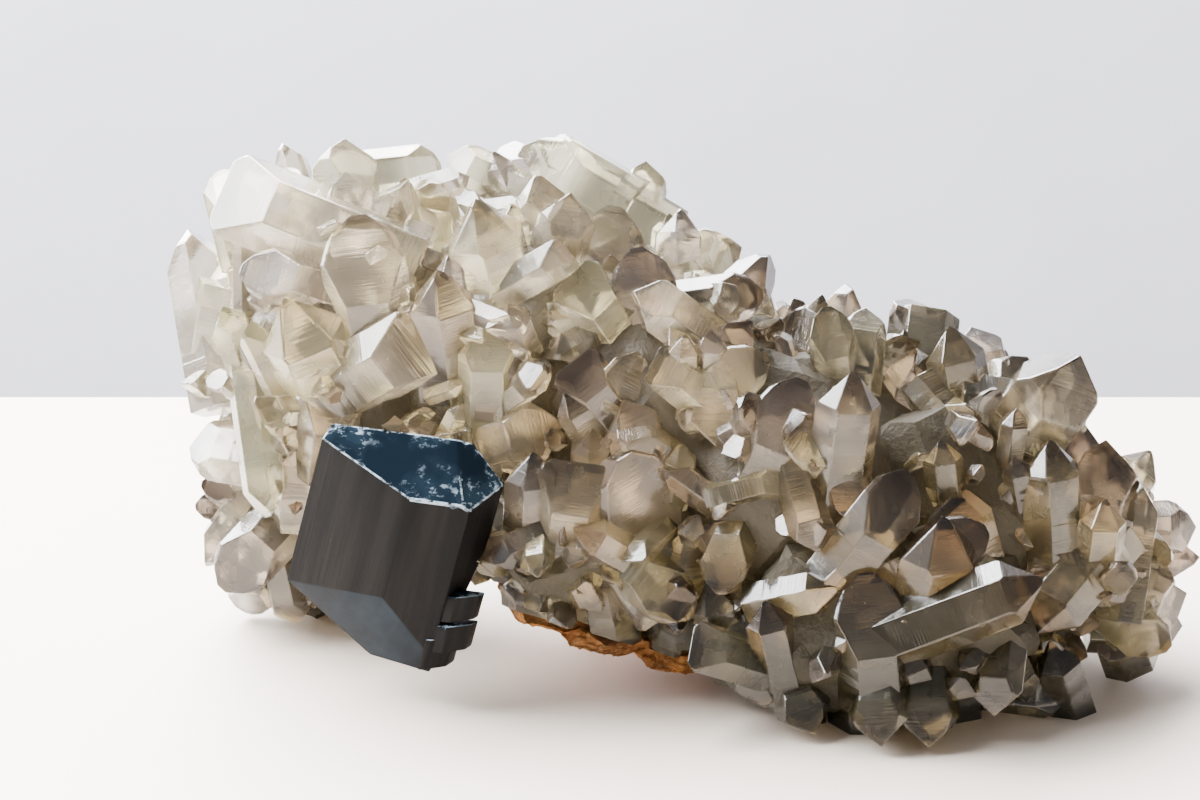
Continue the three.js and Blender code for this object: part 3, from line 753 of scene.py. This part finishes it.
def place_crystal(template, place, rand):
    """A copy of a template, with its own mesh, from its root to its point."""
    root, point, width, turn, _, thickness = place
    axis = (point - root).normalized()
    side = TO_EYE - axis * TO_EYE.dot(axis)
    if side.length < 0.2:
        side = Vector((0, 0, 1)).cross(axis)
    side = Matrix.Rotation(math.radians(turn), 3, axis) @ side.normalized()
    across = axis.cross(side)
    mesh = template.data.copy()
    length = (point - root).length / width + ROOT_LENGTH
    squeeze = max(length - TIP_ZONE, 0.1) / (TEMPLATE_LENGTH - TIP_ZONE)
    places = place_array(mesh)
    low = places[:, 2] < -TIP_ZONE
    places[low, 2] = -TIP_ZONE + (places[low, 2] + TIP_ZONE) * squeeze
    mesh.vertices.foreach_set("co", places.ravel())
    mesh.update()
    write_growth(mesh, width, rand.random(), (rand.uniform(0, 40), rand.uniform(0, 40)))
    turned = Matrix((side, across, axis)).transposed().to_4x4()
    scale = Matrix.Diagonal((width * thickness * MM, width * MM, width * MM, 1))
    mesh.transform(Matrix.Translation(point * MM) @ turned @ scale)
    return mesh


def lump_faces(lump):
    """The direction of each flat face of a lump and its reach, for a ball of size 1."""
    numbers = number_stream(round(1000 + lump[0][0] * 10 + lump[1][0]))
    faces = []
    for face in range(LUMP_FACES):
        height = 1 - (2 * face + 1) / LUMP_FACES
        jolt = Vector((next(numbers) - 0.5, next(numbers) - 0.5, next(numbers) - 0.5))
        outward = on_ball(height, face * GOLDEN_ANGLE) + jolt * LUMP_UNEVENNESS
        faces.append((outward.normalized(), between(LUMP_REACH, next(numbers))))
    return faces


def rough_lump(lump, detail, relief, size):
    """A lump of rock with flat, broken faces and a rough skin."""
    clear_selection()
    bpy.ops.mesh.primitive_ico_sphere_add(subdivisions=detail, radius=1)
    piece = bpy.context.object
    places = place_array(piece.data)
    reach = np.full(len(places), 9.0)
    for outward, far in lump_faces(lump):
        facing = places @ np.array(outward)
        reach = np.where(facing > 0.05, np.minimum(reach, far / np.maximum(facing, 0.05)), reach)
    piece.data.vertices.foreach_set("co", (places * reach[:, None]).ravel())
    piece.data.update()
    piece.scale = Vector(lump[1]) * MM
    piece.location = lump_middle(lump) * MM
    bpy.ops.object.transform_apply(location=True, rotation=True, scale=True)
    grain = bpy.data.textures.new("grain", "CLOUDS")
    grain.noise_type = "HARD_NOISE"
    grain.noise_scale = size
    grain.noise_depth = 3
    apply_modifier(piece, "DISPLACE", texture=grain, texture_coords="GLOBAL",
                   strength=relief, mid_level=0.6)
    bpy.data.textures.remove(grain)
    return piece


def fused(piece, others, operation="UNION"):
    """Joins others to a piece, or cuts them out of it, and removes them."""
    unlink(others)
    tools = bpy.data.collections.new("tools")
    bpy.context.scene.collection.children.link(tools)
    for other in others:
        tools.objects.link(other)
    apply_modifier(piece, "BOOLEAN", operation=operation, solver="MANIFOLD",
                   operand_type="COLLECTION", collection=tools)
    for other in others:
        bpy.data.objects.remove(other)
    bpy.data.collections.remove(tools)


def keep_largest(piece):
    """Leaves only the largest loose part of a mesh."""
    make_active(piece)
    bpy.ops.object.mode_set(mode="EDIT")
    bpy.ops.mesh.select_all(action="SELECT")
    bpy.ops.mesh.separate(type="LOOSE")
    bpy.ops.object.mode_set(mode="OBJECT")
    parts = sorted(bpy.context.selected_objects, key=lambda part: len(part.data.vertices))
    name = piece.name
    main = parts.pop()
    for part in parts:
        bpy.data.objects.remove(part)
    main.name = name
    return main


def cad_copy(node, grow):
    """A merged copy of a CAD node, a little larger all round, to cut with."""
    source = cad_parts[node]
    copy = bpy.data.objects.new("cutter", source.data.copy())
    bpy.context.scene.collection.objects.link(copy)
    apply_modifier(copy, "WELD", merge_threshold=1e-6)
    copy.data.materials.clear()
    clear_layers(copy.data)
    make_active(copy)
    bpy.ops.object.mode_set(mode="EDIT")
    bpy.ops.mesh.select_all(action="SELECT")
    bpy.ops.transform.shrink_fatten(value=grow)
    bpy.ops.object.mode_set(mode="OBJECT")
    return copy


def arch_block():
    """The space under the arch, seen along the line of sight."""
    planes = []
    for across, up, fall in ARCH_LINES:
        planes.append((from_sight(across, up, 0) * MM, sight_direction((fall, 1, 0)).normalized()))
    ends = ((ARCH_LEFT, 0, 0), (0, -2 * ARCH_REACH, 0), (0, 0, ARCH_REACH), (0, 0, -ARCH_REACH))
    for end in ends:
        planes.append((from_sight(*end) * MM, sight_direction(Vector(end).normalized())))
    clear_selection()
    bpy.ops.mesh.primitive_cube_add(size=0.9)
    block = bpy.context.object
    bpy.ops.object.mode_set(mode="EDIT")
    cut_away(planes)
    bpy.ops.object.mode_set(mode="OBJECT")
    return block


def dress(piece, name, material, smooth_angle):
    """Names a finished piece, and gives it its material and its smooth edges."""
    piece.name = name
    piece.data.materials.clear()
    piece.data.materials.append(material)
    make_active(piece)
    bpy.ops.object.shade_smooth_by_angle(angle=math.radians(smooth_angle))


def ground_block():
    """All that lies below the floor."""
    clear_selection()
    bpy.ops.mesh.primitive_cube_add(size=1, location=(0, 0, -0.05))
    ground = bpy.context.object
    ground.scale = (0.6, 0.6, 0.1)
    bpy.ops.object.transform_apply(location=True, rotation=True, scale=True)
    return ground


# Material helpers
class Nodes:
    """Adds and links the nodes of one material."""

    def __init__(self, name):
        self.material = bpy.data.materials.new(name)
        self.material.use_nodes = True
        self.tree = self.material.node_tree
        self.shader = self.tree.nodes["Principled BSDF"]
        self.output = self.tree.nodes["Material Output"]

    def add(self, kind, links=None, **values):
        node = self.tree.nodes.new(kind)
        for name, value in values.items():
            setattr(node, name, value)
        for socket, source in (links or {}).items():
            self.join(source, node.inputs[socket])
        return node

    def join(self, source, socket):
        if isinstance(source, bpy.types.NodeSocket):
            self.tree.links.new(source, socket)
        elif isinstance(source, bpy.types.Node):
            self.tree.links.new(source.outputs[0], socket)
        else:
            socket.default_value = source

    def math(self, operation, a, b, clamp=False):
        node = self.add("ShaderNodeMath", {0: a, 1: b}, operation=operation, use_clamp=clamp)
        return node.outputs[0]

    def plus(self, a, b, clamp=False):
        return self.math("ADD", a, b, clamp)

    def times(self, a, b):
        return self.math("MULTIPLY", a, b)

    def own_place(self):
        return self.add("ShaderNodeTexCoord").outputs["Object"]

    def layer(self, name):
        return self.add("ShaderNodeUVMap", uv_map=name).outputs[0]

    def parts(self, vector):
        return self.add("ShaderNodeSeparateXYZ", {0: vector}).outputs

    def noise(self, vector, scale, detail=3.0, roughness=0.55, distortion=0.0):
        return self.add("ShaderNodeTexNoise", {
            "Vector": vector, "Scale": scale, "Detail": detail, "Roughness": roughness,
            "Distortion": distortion}).outputs[0]

    def span(self, value, low, high, to_low=0.0, to_high=1.0):
        return self.add("ShaderNodeMapRange", {
            "Value": value, "From Min": low, "From Max": high,
            "To Min": to_low, "To Max": to_high}).outputs[0]

    def mix(self, factor, a, b, blend="MIX"):
        node = self.add("ShaderNodeMix", data_type="RGBA", blend_type=blend)
        self.join(factor, node.inputs[0])
        self.join(a, node.inputs[6])
        self.join(b, node.inputs[7])
        return node.outputs[2]

    def stretched(self, vector, scale):
        return self.add("ShaderNodeMapping", {"Vector": vector, "Scale": scale}).outputs[0]

    def bump(self, height, strength, distance):
        links = {"Height": height, "Strength": strength, "Distance": distance}
        return self.add("ShaderNodeBump", links).outputs[0]

    def set_shader(self, **values):
        for name, value in values.items():
            self.join(value, self.shader.inputs[name.replace("_", " ")])


def colour(values):
    return (values[0], values[1], values[2], 1)


def quartz_material(settings):
    """Cloudy smoky quartz: pale at the upper left, olive at the lower right, the darkening partly
    painted shade away from the window light, with painted shade at the roots.
    """
    nodes = Nodes("smoky_quartz")
    place = nodes.own_place()
    growth = nodes.layer("growth")
    tint = nodes.parts(nodes.layer("tint"))
    tip, tone = tint[0], tint[1]
    clouds = nodes.noise(place, 38, 3, 0.6)
    # Partly painted shade: the colour darkens from the upper left to the lower right, away from the
    # window light, on top of the quartz's own change of tone.
    slope = nodes.add("ShaderNodeVectorMath", {0: place, 1: TONE_AND_SHADE_SLOPE}, operation="DOT_PRODUCT")
    tone_and_shade = nodes.plus(slope.outputs[1], TONE_AND_SHADE_START)
    tone_and_shade = nodes.plus(tone_and_shade, nodes.span(nodes.parts(place)[0], 0.072, 0.084, 0, -0.6))
    tone_and_shade = nodes.plus(tone_and_shade, nodes.span(clouds, 0.3, 0.7, -0.22, 0.22))
    tone_and_shade = nodes.plus(tone_and_shade, nodes.span(tone, 0, 1, -0.14, 0.14), clamp=True)
    ramp = nodes.add("ShaderNodeValToRGB", {0: tone_and_shade})
    ramp.color_ramp.elements[0].position = 0.12
    ramp.color_ramp.elements[0].color = colour(settings.pale)
    ramp.color_ramp.elements[1].position = 0.92
    ramp.color_ramp.elements[1].color = colour(settings.olive)
    ramp.color_ramp.elements.new(0.5).color = colour(settings.beige)
    hue = nodes.mix(nodes.span(tone, 0.1, 0.9), WARM_HUE, COOL_HUE)
    body = nodes.mix(1.0, ramp.outputs[0], hue, "MULTIPLY")
    smoke = nodes.times(nodes.span(tip, 0.4, 1.0), nodes.span(tone_and_shade, 0.1, 0.8, 0.15, 0.85))
    body = nodes.mix(smoke, body, colour(settings.smoke))
    rock = nodes.math("GREATER_THAN", tone, 1.5)
    patches = nodes.noise(place, 90, 3, 0.65)
    stain = nodes.times(nodes.span(patches, 0.5, 0.75, 0, 0.4), nodes.span(tip, 0.5, 0.0))
    body = nodes.mix(stain, body, STAIN_COLOUR)
    # Painted shade: the crystals darken towards their buried roots, more so in the darker zone, and
    # the massive quartz in the gaps is darkened in grains, partly painted shade in the crevices and
    # partly its own grain.
    root_and_rock_shade = nodes.times(nodes.span(tip, 0.02, 0.34, 1, 0), nodes.span(tone_and_shade, 0, 0.5, 0.45, 0.85))
    grains = nodes.span(nodes.noise(place, 420, 3, 0.7), 0.35, 0.65, 0.35, 0.95)
    root_and_rock_shade = nodes.math("MAXIMUM", root_and_rock_shade, nodes.times(rock, grains))
    body = nodes.mix(root_and_rock_shade, body, ROOT_SHADE_COLOUR)

    lines = nodes.noise(nodes.stretched(growth, (0.9, 26, 1)), 1.0, 2, 0.6, 0.3)
    swell = nodes.noise(place, 300, 1, 0.5)
    pits = nodes.noise(place, 1300, 2, 0.6)
    height = nodes.plus(nodes.times(lines, 0.35), nodes.times(swell, 0.45))
    height = nodes.plus(height, nodes.times(pits, nodes.span(rock, 0, 1, 0.1, 2.2)))
    normal = nodes.bump(height, 0.3, 0.0007)
    frost = nodes.plus(nodes.span(patches, 0.3, 0.7, 0.13, 0.34), nodes.times(rock, 0.4))
    clear = nodes.plus(nodes.span(tip, 0, 0.9, 0.68, 0.95), nodes.span(tone_and_shade, 0, 0.7, -0.02, 0.0))
    clear = nodes.plus(clear, nodes.times(rock, -0.3))
    nodes.set_shader(Base_Color=body, Roughness=frost, Normal=normal, IOR=1.544,
                     Transmission_Weight=clear, Coat_Weight=nodes.span(rock, 0, 1, 0.8, 0.05),
                     Coat_Roughness=0.06, Coat_IOR=1.5)
    absorb = nodes.add("ShaderNodeVolumeAbsorption",
                       {"Color": CLEAR_COLOUR, "Density": CLEAR_DENSITY})
    nodes.join(absorb, nodes.output.inputs["Volume"])
    return nodes.material


def black_material(settings):
    """A black mineral: silky, grooved along its length, with a painted blue reflection of the sky
    on its ends.
    """
    nodes = Nodes("black_crystal")
    place = nodes.own_place()
    growth = nodes.layer("growth")
    tint = nodes.parts(nodes.layer("tint"))
    end, edge = tint[0], tint[1]
    grooves = nodes.noise(nodes.stretched(growth, (34, 0.6, 1)), 1.0, 3, 0.6)
    bands = nodes.noise(nodes.stretched(growth, (3.5, 0.25, 1)), 1.0, 2, 0.5)
    flecks = nodes.noise(nodes.stretched(place, (1, 1, 1.6)), 520, 4, 0.72)
    clouds = nodes.noise(place, 90, 3, 0.6)
    side = nodes.mix(nodes.span(bands, 0.38, 0.66), colour(settings.colour), GREY_BAND)
    # Painted reflection: the ends are tinted blue, with lighter blue patches, for the sky reflected
    # in them.
    top = nodes.mix(nodes.span(clouds, 0.4, 0.7), colour(settings.end_reflection_colour), SKY_REFLECTION_PATCH)
    body = nodes.mix(end, side, top)
    # Chips and painted highlights: bluish-white flecks on the end faces and along the rims of the
    # top, partly worn chips, partly painted glints of light catching the edges.
    worn = nodes.times(nodes.span(flecks, 0.54, 0.62), nodes.span(clouds, 0.42, 0.58))
    worn = nodes.times(worn, nodes.span(end, 0.55, 1, 0.0, 0.9))
    rim_chip_and_highlight = nodes.times(edge, nodes.span(flecks, 0.4, 0.54))
    body = nodes.mix(nodes.math("MAXIMUM", worn, rim_chip_and_highlight), body, CHIP_AND_GLINT_COLOUR)
    height = nodes.plus(nodes.times(grooves, nodes.span(end, 0, 0.5, 0.5, 0.0)),
                        nodes.times(flecks, 0.3))
    normal = nodes.bump(height, 0.3, 0.0005)
    rough = nodes.mix(end, nodes.span(grooves, 0.3, 0.7, 0.36, 0.5),
                      nodes.span(clouds, 0.3, 0.7, 0.2, 0.34))
    nodes.set_shader(Base_Color=body, Roughness=rough, Normal=normal, IOR=1.28)
    return nodes.material


def rust_material(settings):
    """Crumbly rock, from rust orange to brown."""
    nodes = Nodes("rusty_rock")
    place = nodes.own_place()
    patches = nodes.noise(place, 130, 4, 0.65)
    grit = nodes.noise(place, 900, 4, 0.7)
    body = nodes.mix(nodes.span(patches, 0.35, 0.65), colour(settings.brown), colour(settings.rust))
    body = nodes.mix(nodes.span(grit, 0.45, 0.75, 0, 0.5), body, GRIT_COLOUR)
    normal = nodes.bump(grit, 0.8, 0.0006)
    nodes.set_shader(Base_Color=body, Roughness=0.9, Normal=normal)
    return nodes.material


# Operators
class SPECIMEN_OT_grow_quartz(Operator):
    """Builds the fused quartz crystals and the massive quartz under them"""

    bl_idname = "specimen.grow_quartz"
    bl_label = "Grow Quartz"

    def execute(self, context):
        settings = context.scene.quartz_settings
        rand = random.Random(3)
        low, high = (Vector(corner) for corner in CAD_BOX)
        large, small = {}, {}
        for form in TIP_FORMS:
            large[form] = [crystal_template(form, settings.edge, settings.step, seed, False)
                           for seed in (1, 2)]
            small[form] = [crystal_template(form, SMALL_EDGE, 0, 1, True)]
        meshes = []
        for place in front_places() + back_places():
            meshes.append(place_crystal(rand.choice(large[place[4]]), place, rand))
        for place in small_places(settings.small_count, settings.rear_count, settings.small_widths):
            room = place[2] * MM * 0.7
            point = place[1] * MM
            if all(low[i] + room < point[i] < high[i] - room for i in range(3)):
                meshes.append(place_crystal(rand.choice(small[place[4]]), place, rand))
        crystals = [bpy.data.objects.new("crystal", mesh) for mesh in meshes]
        rocks = []
        for index, lump in enumerate(LUMPS):
            rock = rough_lump(lump, 5 if index < 4 else 4, settings.rock_grain, 0.006)
            write_rock(rock.data)
            rocks.append(rock)
        for templates in list(large.values()) + list(small.values()):
            for template in templates:
                bpy.data.objects.remove(template)
        quartz = rocks.pop(0)
        fused(quartz, rocks + crystals)
        cutters = [ground_block(), arch_block(), cad_copy("black_crystal", 0.0002),
                   cad_copy("rusty_matrix", 0.0006)]
        for cutter in cutters:
            fused(quartz, [cutter], "DIFFERENCE")
        quartz = keep_largest(quartz)
        dress(quartz, "quartz_crystals", quartz_material(settings), 11)
        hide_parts("quartz_cluster")
        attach(quartz, "root")
        return {"FINISHED"}


class SPECIMEN_OT_grow_black_crystal(Operator):
    """Builds the large black crystal and the small ones on its flank"""

    bl_idname = "specimen.grow_black_crystal"
    bl_label = "Grow Black Crystal"

    def execute(self, context):
        settings = context.scene.black_crystal_settings
        sides = [(0, -1, 0, 0), (0, 1, 0, BLACK_DEPTH), (-1, 0, 0, 0)]
        sides += [(across, rear, 0, reach) for across, rear, reach in BLACK_SIDES]
        tops = [(-across, -rear, 1, height) for height, across, rear in BLACK_TOP_FACES]
        feet = [(across, rear, -1, -height) for height, across, rear in BLACK_FOOT_FACES]
        crystal = self.block(sides, tops, feet, settings)
        for side, front, foot, top in BLACK_SMALL:
            sides = [(0, -1, 0, -front), (0, 1, 0, SMALL_REAR), (-1, 0, 0, -SMALL_LEFT),
                     (1, 0, 0, side), (1, -1, 0, side - front - SMALL_CORNER)]
            tops = [(-SMALL_TOP_RISE, 0, 1, top - SMALL_TOP_RISE * SMALL_MIDDLE)]
            feet = [(SMALL_FOOT_RISE, 0, -1, SMALL_FOOT_RISE * SMALL_MIDDLE - foot)]
            fused(crystal, [self.block(sides, tops, feet, settings)])
        fused(crystal, self.chips(crystal.data, settings.chips), "DIFFERENCE")
        dress(crystal, "black_crystal_grooved", black_material(settings), 24)
        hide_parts("black_crystal")
        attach(crystal, "root")
        return {"FINISHED"}

    def block(self, sides, tops, feet, settings):
        """A crystal cut out by its faces, each one as across, back, up and reach."""
        up = BLACK_UP.normalized()
        right = (BLACK_RIGHT - up * BLACK_RIGHT.dot(up)).normalized()
        back = up.cross(right)
        planes = []
        for across, rear, rise, reach in sides + tops + feet:
            normal = right * across + back * rear + up * rise
            size = normal.length
            normal = normal / size
            through = BLACK_CORNER + normal * (reach / size)
            planes.append((from_sight(*through) * MM, sight_direction(normal)))
        clear_selection()
        middle = from_sight(-40, -20, -15) * MM
        bpy.ops.mesh.primitive_cube_add(size=0.16, location=middle)
        crystal = bpy.context.object
        bpy.ops.object.transform_apply(location=True, rotation=True, scale=True)
        bpy.ops.object.mode_set(mode="EDIT")
        cut_away(planes)
        bpy.ops.mesh.select_all(action="SELECT")
        bpy.ops.mesh.bevel(offset=settings.edge, segments=2, profile=0.6, affect="EDGES")
        bpy.ops.object.mode_set(mode="OBJECT")
        normals = [np.array(normal) for _, normal in planes]
        first, last = len(sides), len(sides) + len(tops)
        self.write_faces(crystal.data, sight_direction(up), sight_direction(right),
                         normals[:first], normals[first:last], normals[last:])
        return crystal

    def chips(self, mesh, count):
        """Small sharp bits to knock out of the edges of the top faces."""
        rand = random.Random(9)
        marks = np.empty(len(mesh.loops) * 2)
        mesh.uv_layers["tint"].uv.foreach_get("vector", marks)
        worn = []
        for face in mesh.polygons:
            if marks[face.loop_start * 2 + 1] > 0.5:
                corners = [mesh.vertices[index].co for index in face.vertices]
                ends = max(itertools.combinations(corners, 2),
                           key=lambda pair: (pair[0] - pair[1]).length)
                worn.append([end.copy() for end in ends])
        lengths = [(start - end).length for start, end in worn]
        clear_selection()
        bpy.ops.mesh.primitive_ico_sphere_add(subdivisions=1, radius=1)
        template = bpy.context.object
        chips = []
        for _ in range(count):
            start, end = rand.choices(worn, lengths)[0]
            size = rand.uniform(0.2, 0.7) * MM
            turn = Matrix.Rotation(rand.uniform(0, 3), 4, Vector((rand.random(), rand.random(), 1)))
            length, height = rand.uniform(0.7, 2), rand.uniform(0.4, 1)
            scale = Matrix.Diagonal((size * length, size, size * height, 1))
            chip = template.data.copy()
            chip.transform(Matrix.Translation(start.lerp(end, rand.random())) @ turn @ scale)
            clear_layers(chip)
            ones = np.ones(len(chip.loops) * 2)
            write_layers(chip, ones, ones)
            chips.append(bpy.data.objects.new("chip", chip))
        bpy.data.objects.remove(template)
        return chips

    def write_faces(self, mesh, up, right, sides, tops, feet):
        """Where each corner lies across and along; whether on an end; whether on a top's edge."""
        places, facing = corner_places(mesh)
        clear_layers(mesh)
        growth = np.empty((len(places), 2))
        growth[:, 0] = places @ np.array(right + up.cross(right)) * 100
        growth[:, 1] = places @ np.array(up) * 100
        tint = np.zeros((len(places), 2))
        on_face = np.zeros(len(places), dtype=bool)
        near_top = np.zeros(len(places), dtype=bool)
        for normal in sides + tops + feet:
            on_face |= (facing @ normal) > SAME_FACE
        for normal in tops:
            tint[:, 0] = np.maximum(tint[:, 0], (facing @ normal) > SAME_FACE)
            near_top |= (facing @ normal) > 0.8
        for normal in feet:
            tint[:, 0] = np.maximum(tint[:, 0], ((facing @ normal) > SAME_FACE) * 0.5)
        tint[:, 1] = ~on_face & near_top
        write_layers(mesh, growth, tint)


class SPECIMEN_OT_lay_rusty_crust(Operator):
    """Builds the crust of rusty rock under the arch"""

    bl_idname = "specimen.lay_rusty_crust"
    bl_label = "Lay Rusty Crust"

    def execute(self, context):
        settings = context.scene.rusty_rock_settings
        lumps = [rough_lump(lump, 5, settings.relief, 0.002) for lump in CRUST]
        crust = lumps.pop(0)
        fused(crust, lumps)
        dress(crust, "rusty_crust", rust_material(settings), 50)
        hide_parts("rusty_matrix")
        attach(crust, "root")
        return {"FINISHED"}


class SPECIMEN_OT_set_stage(Operator):
    """Sets up the floor, the wall, the lights and the camera"""

    bl_idname = "specimen.set_stage"
    bl_label = "Set Stage"

    def execute(self, context):
        settings = context.scene.stage_settings
        clear_selection()
        bpy.ops.mesh.primitive_cube_add(size=1, location=(0, -0.879, -0.01))
        floor = bpy.context.object
        floor.name = "floor"
        floor.scale = (4, 2.0, 0.02)
        bpy.ops.object.transform_apply(location=True, rotation=True, scale=True)
        floor.data.materials.append(self.plain_material("pale_floor", settings.floor, 0.55))
        clear_selection()
        bpy.ops.mesh.primitive_plane_add(size=6, location=(0, 1.6, 0.6),
                                         rotation=(math.pi / 2, 0, 0))
        wall = bpy.context.object
        wall.name = "wall"
        bpy.ops.object.transform_apply(location=True, rotation=True, scale=True)
        lilac = self.plain_material("lilac_wall", settings.wall, 0.9, settings.glow)
        wall.data.materials.append(lilac)
        self.add_light("window", settings.window, (0.95, 0.97, 1.0), (2.6, 1.8), (-0.8, 0.75, 1.0))
        self.add_light("sky", settings.sky, (0.8, 0.88, 1.0), (1.2, 1.2), (-1.3, -0.35, 0.7))
        self.add_light("fill", settings.fill, (1.0, 0.98, 0.95), (1.4, 1.0), (0.5, -1.3, 1.0))
        world = bpy.data.worlds.new("soft_room")
        world.use_nodes = True
        background = world.node_tree.nodes["Background"]
        background.inputs["Color"].default_value = ROOM_COLOUR
        background.inputs["Strength"].default_value = 0.3
        context.scene.world = world
        context.scene.view_settings.look = "AgX - Medium High Contrast"
        lens = bpy.data.cameras.new("view")
        lens.lens = 85
        lens.sensor_width = 36
        camera = bpy.data.objects.new("view", lens)
        context.scene.collection.objects.link(camera)
        middle = from_sight(0, 0, 0) * MM
        camera.location = middle + TO_EYE * SIGHT_DISTANCE * MM
        camera.rotation_euler = TO_EYE.to_track_quat("Z", "Y").to_euler()
        context.scene.camera = camera
        return {"FINISHED"}

    def plain_material(self, name, tint, roughness, glow=0):
        nodes = Nodes(name)
        cloud = nodes.span(nodes.noise(nodes.own_place(), 6, 3), 0.3, 0.7, 0.97, 1.03)
        body = nodes.mix(1.0, colour(tint), cloud, "MULTIPLY")
        nodes.set_shader(Base_Color=body, Roughness=roughness)
        if glow:
            nodes.set_shader(Emission_Color=body, Emission_Strength=glow)
        return nodes.material

    def add_light(self, name, power, tint, size, place):
        light = bpy.data.lights.new(name, "AREA")
        light.energy = power
        light.color = tint
        light.shape = "RECTANGLE"
        light.size, light.size_y = size
        lamp = bpy.data.objects.new(name, light)
        bpy.context.scene.collection.objects.link(lamp)
        lamp.location = place
        aim = Vector(place) - Vector((0, 0, 0.03))
        lamp.rotation_euler = aim.to_track_quat("Z", "Y").to_euler()


class SPECIMEN_PT_pieces(Panel):
    """Lists the pieces of the specimen"""

    bl_label = "Smoky Quartz Cluster"
    bl_idname = "SPECIMEN_PT_pieces"
    bl_space_type = "VIEW_3D"
    bl_region_type = "UI"
    bl_category = "Quartz"

    def draw(self, context):
        groups = (
            ("quartz_settings", SPECIMEN_OT_grow_quartz),
            ("black_crystal_settings", SPECIMEN_OT_grow_black_crystal),
            ("rusty_rock_settings", SPECIMEN_OT_lay_rusty_crust),
            ("stage_settings", SPECIMEN_OT_set_stage),
        )
        for name, operator in groups:
            box = self.layout.box()
            settings = getattr(context.scene, name)
            for item in settings.__annotations__:
                box.prop(settings, item)
            box.operator(operator.bl_idname)


SETTINGS = {
    "quartz_settings": QuartzSettings,
    "black_crystal_settings": BlackCrystalSettings,
    "rusty_rock_settings": RustyRockSettings,
    "stage_settings": StageSettings,
}
CLASSES = tuple(SETTINGS.values()) + (
    SPECIMEN_OT_grow_quartz,
    SPECIMEN_OT_grow_black_crystal,
    SPECIMEN_OT_lay_rusty_crust,
    SPECIMEN_OT_set_stage,
    SPECIMEN_PT_pieces,
)


def register():
    for item in CLASSES:
        bpy.utils.register_class(item)
    for name, group in SETTINGS.items():
        setattr(bpy.types.Scene, name, PointerProperty(type=group))


def unregister():
    for name in SETTINGS:
        delattr(bpy.types.Scene, name)
    for item in reversed(CLASSES):
        bpy.utils.unregister_class(item)


def main():
    register()
    bpy.ops.specimen.grow_quartz()
    bpy.ops.specimen.grow_black_crystal()
    bpy.ops.specimen.lay_rusty_crust()
    bpy.ops.specimen.set_stage()
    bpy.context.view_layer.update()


if __name__ == "__main__":
    main()
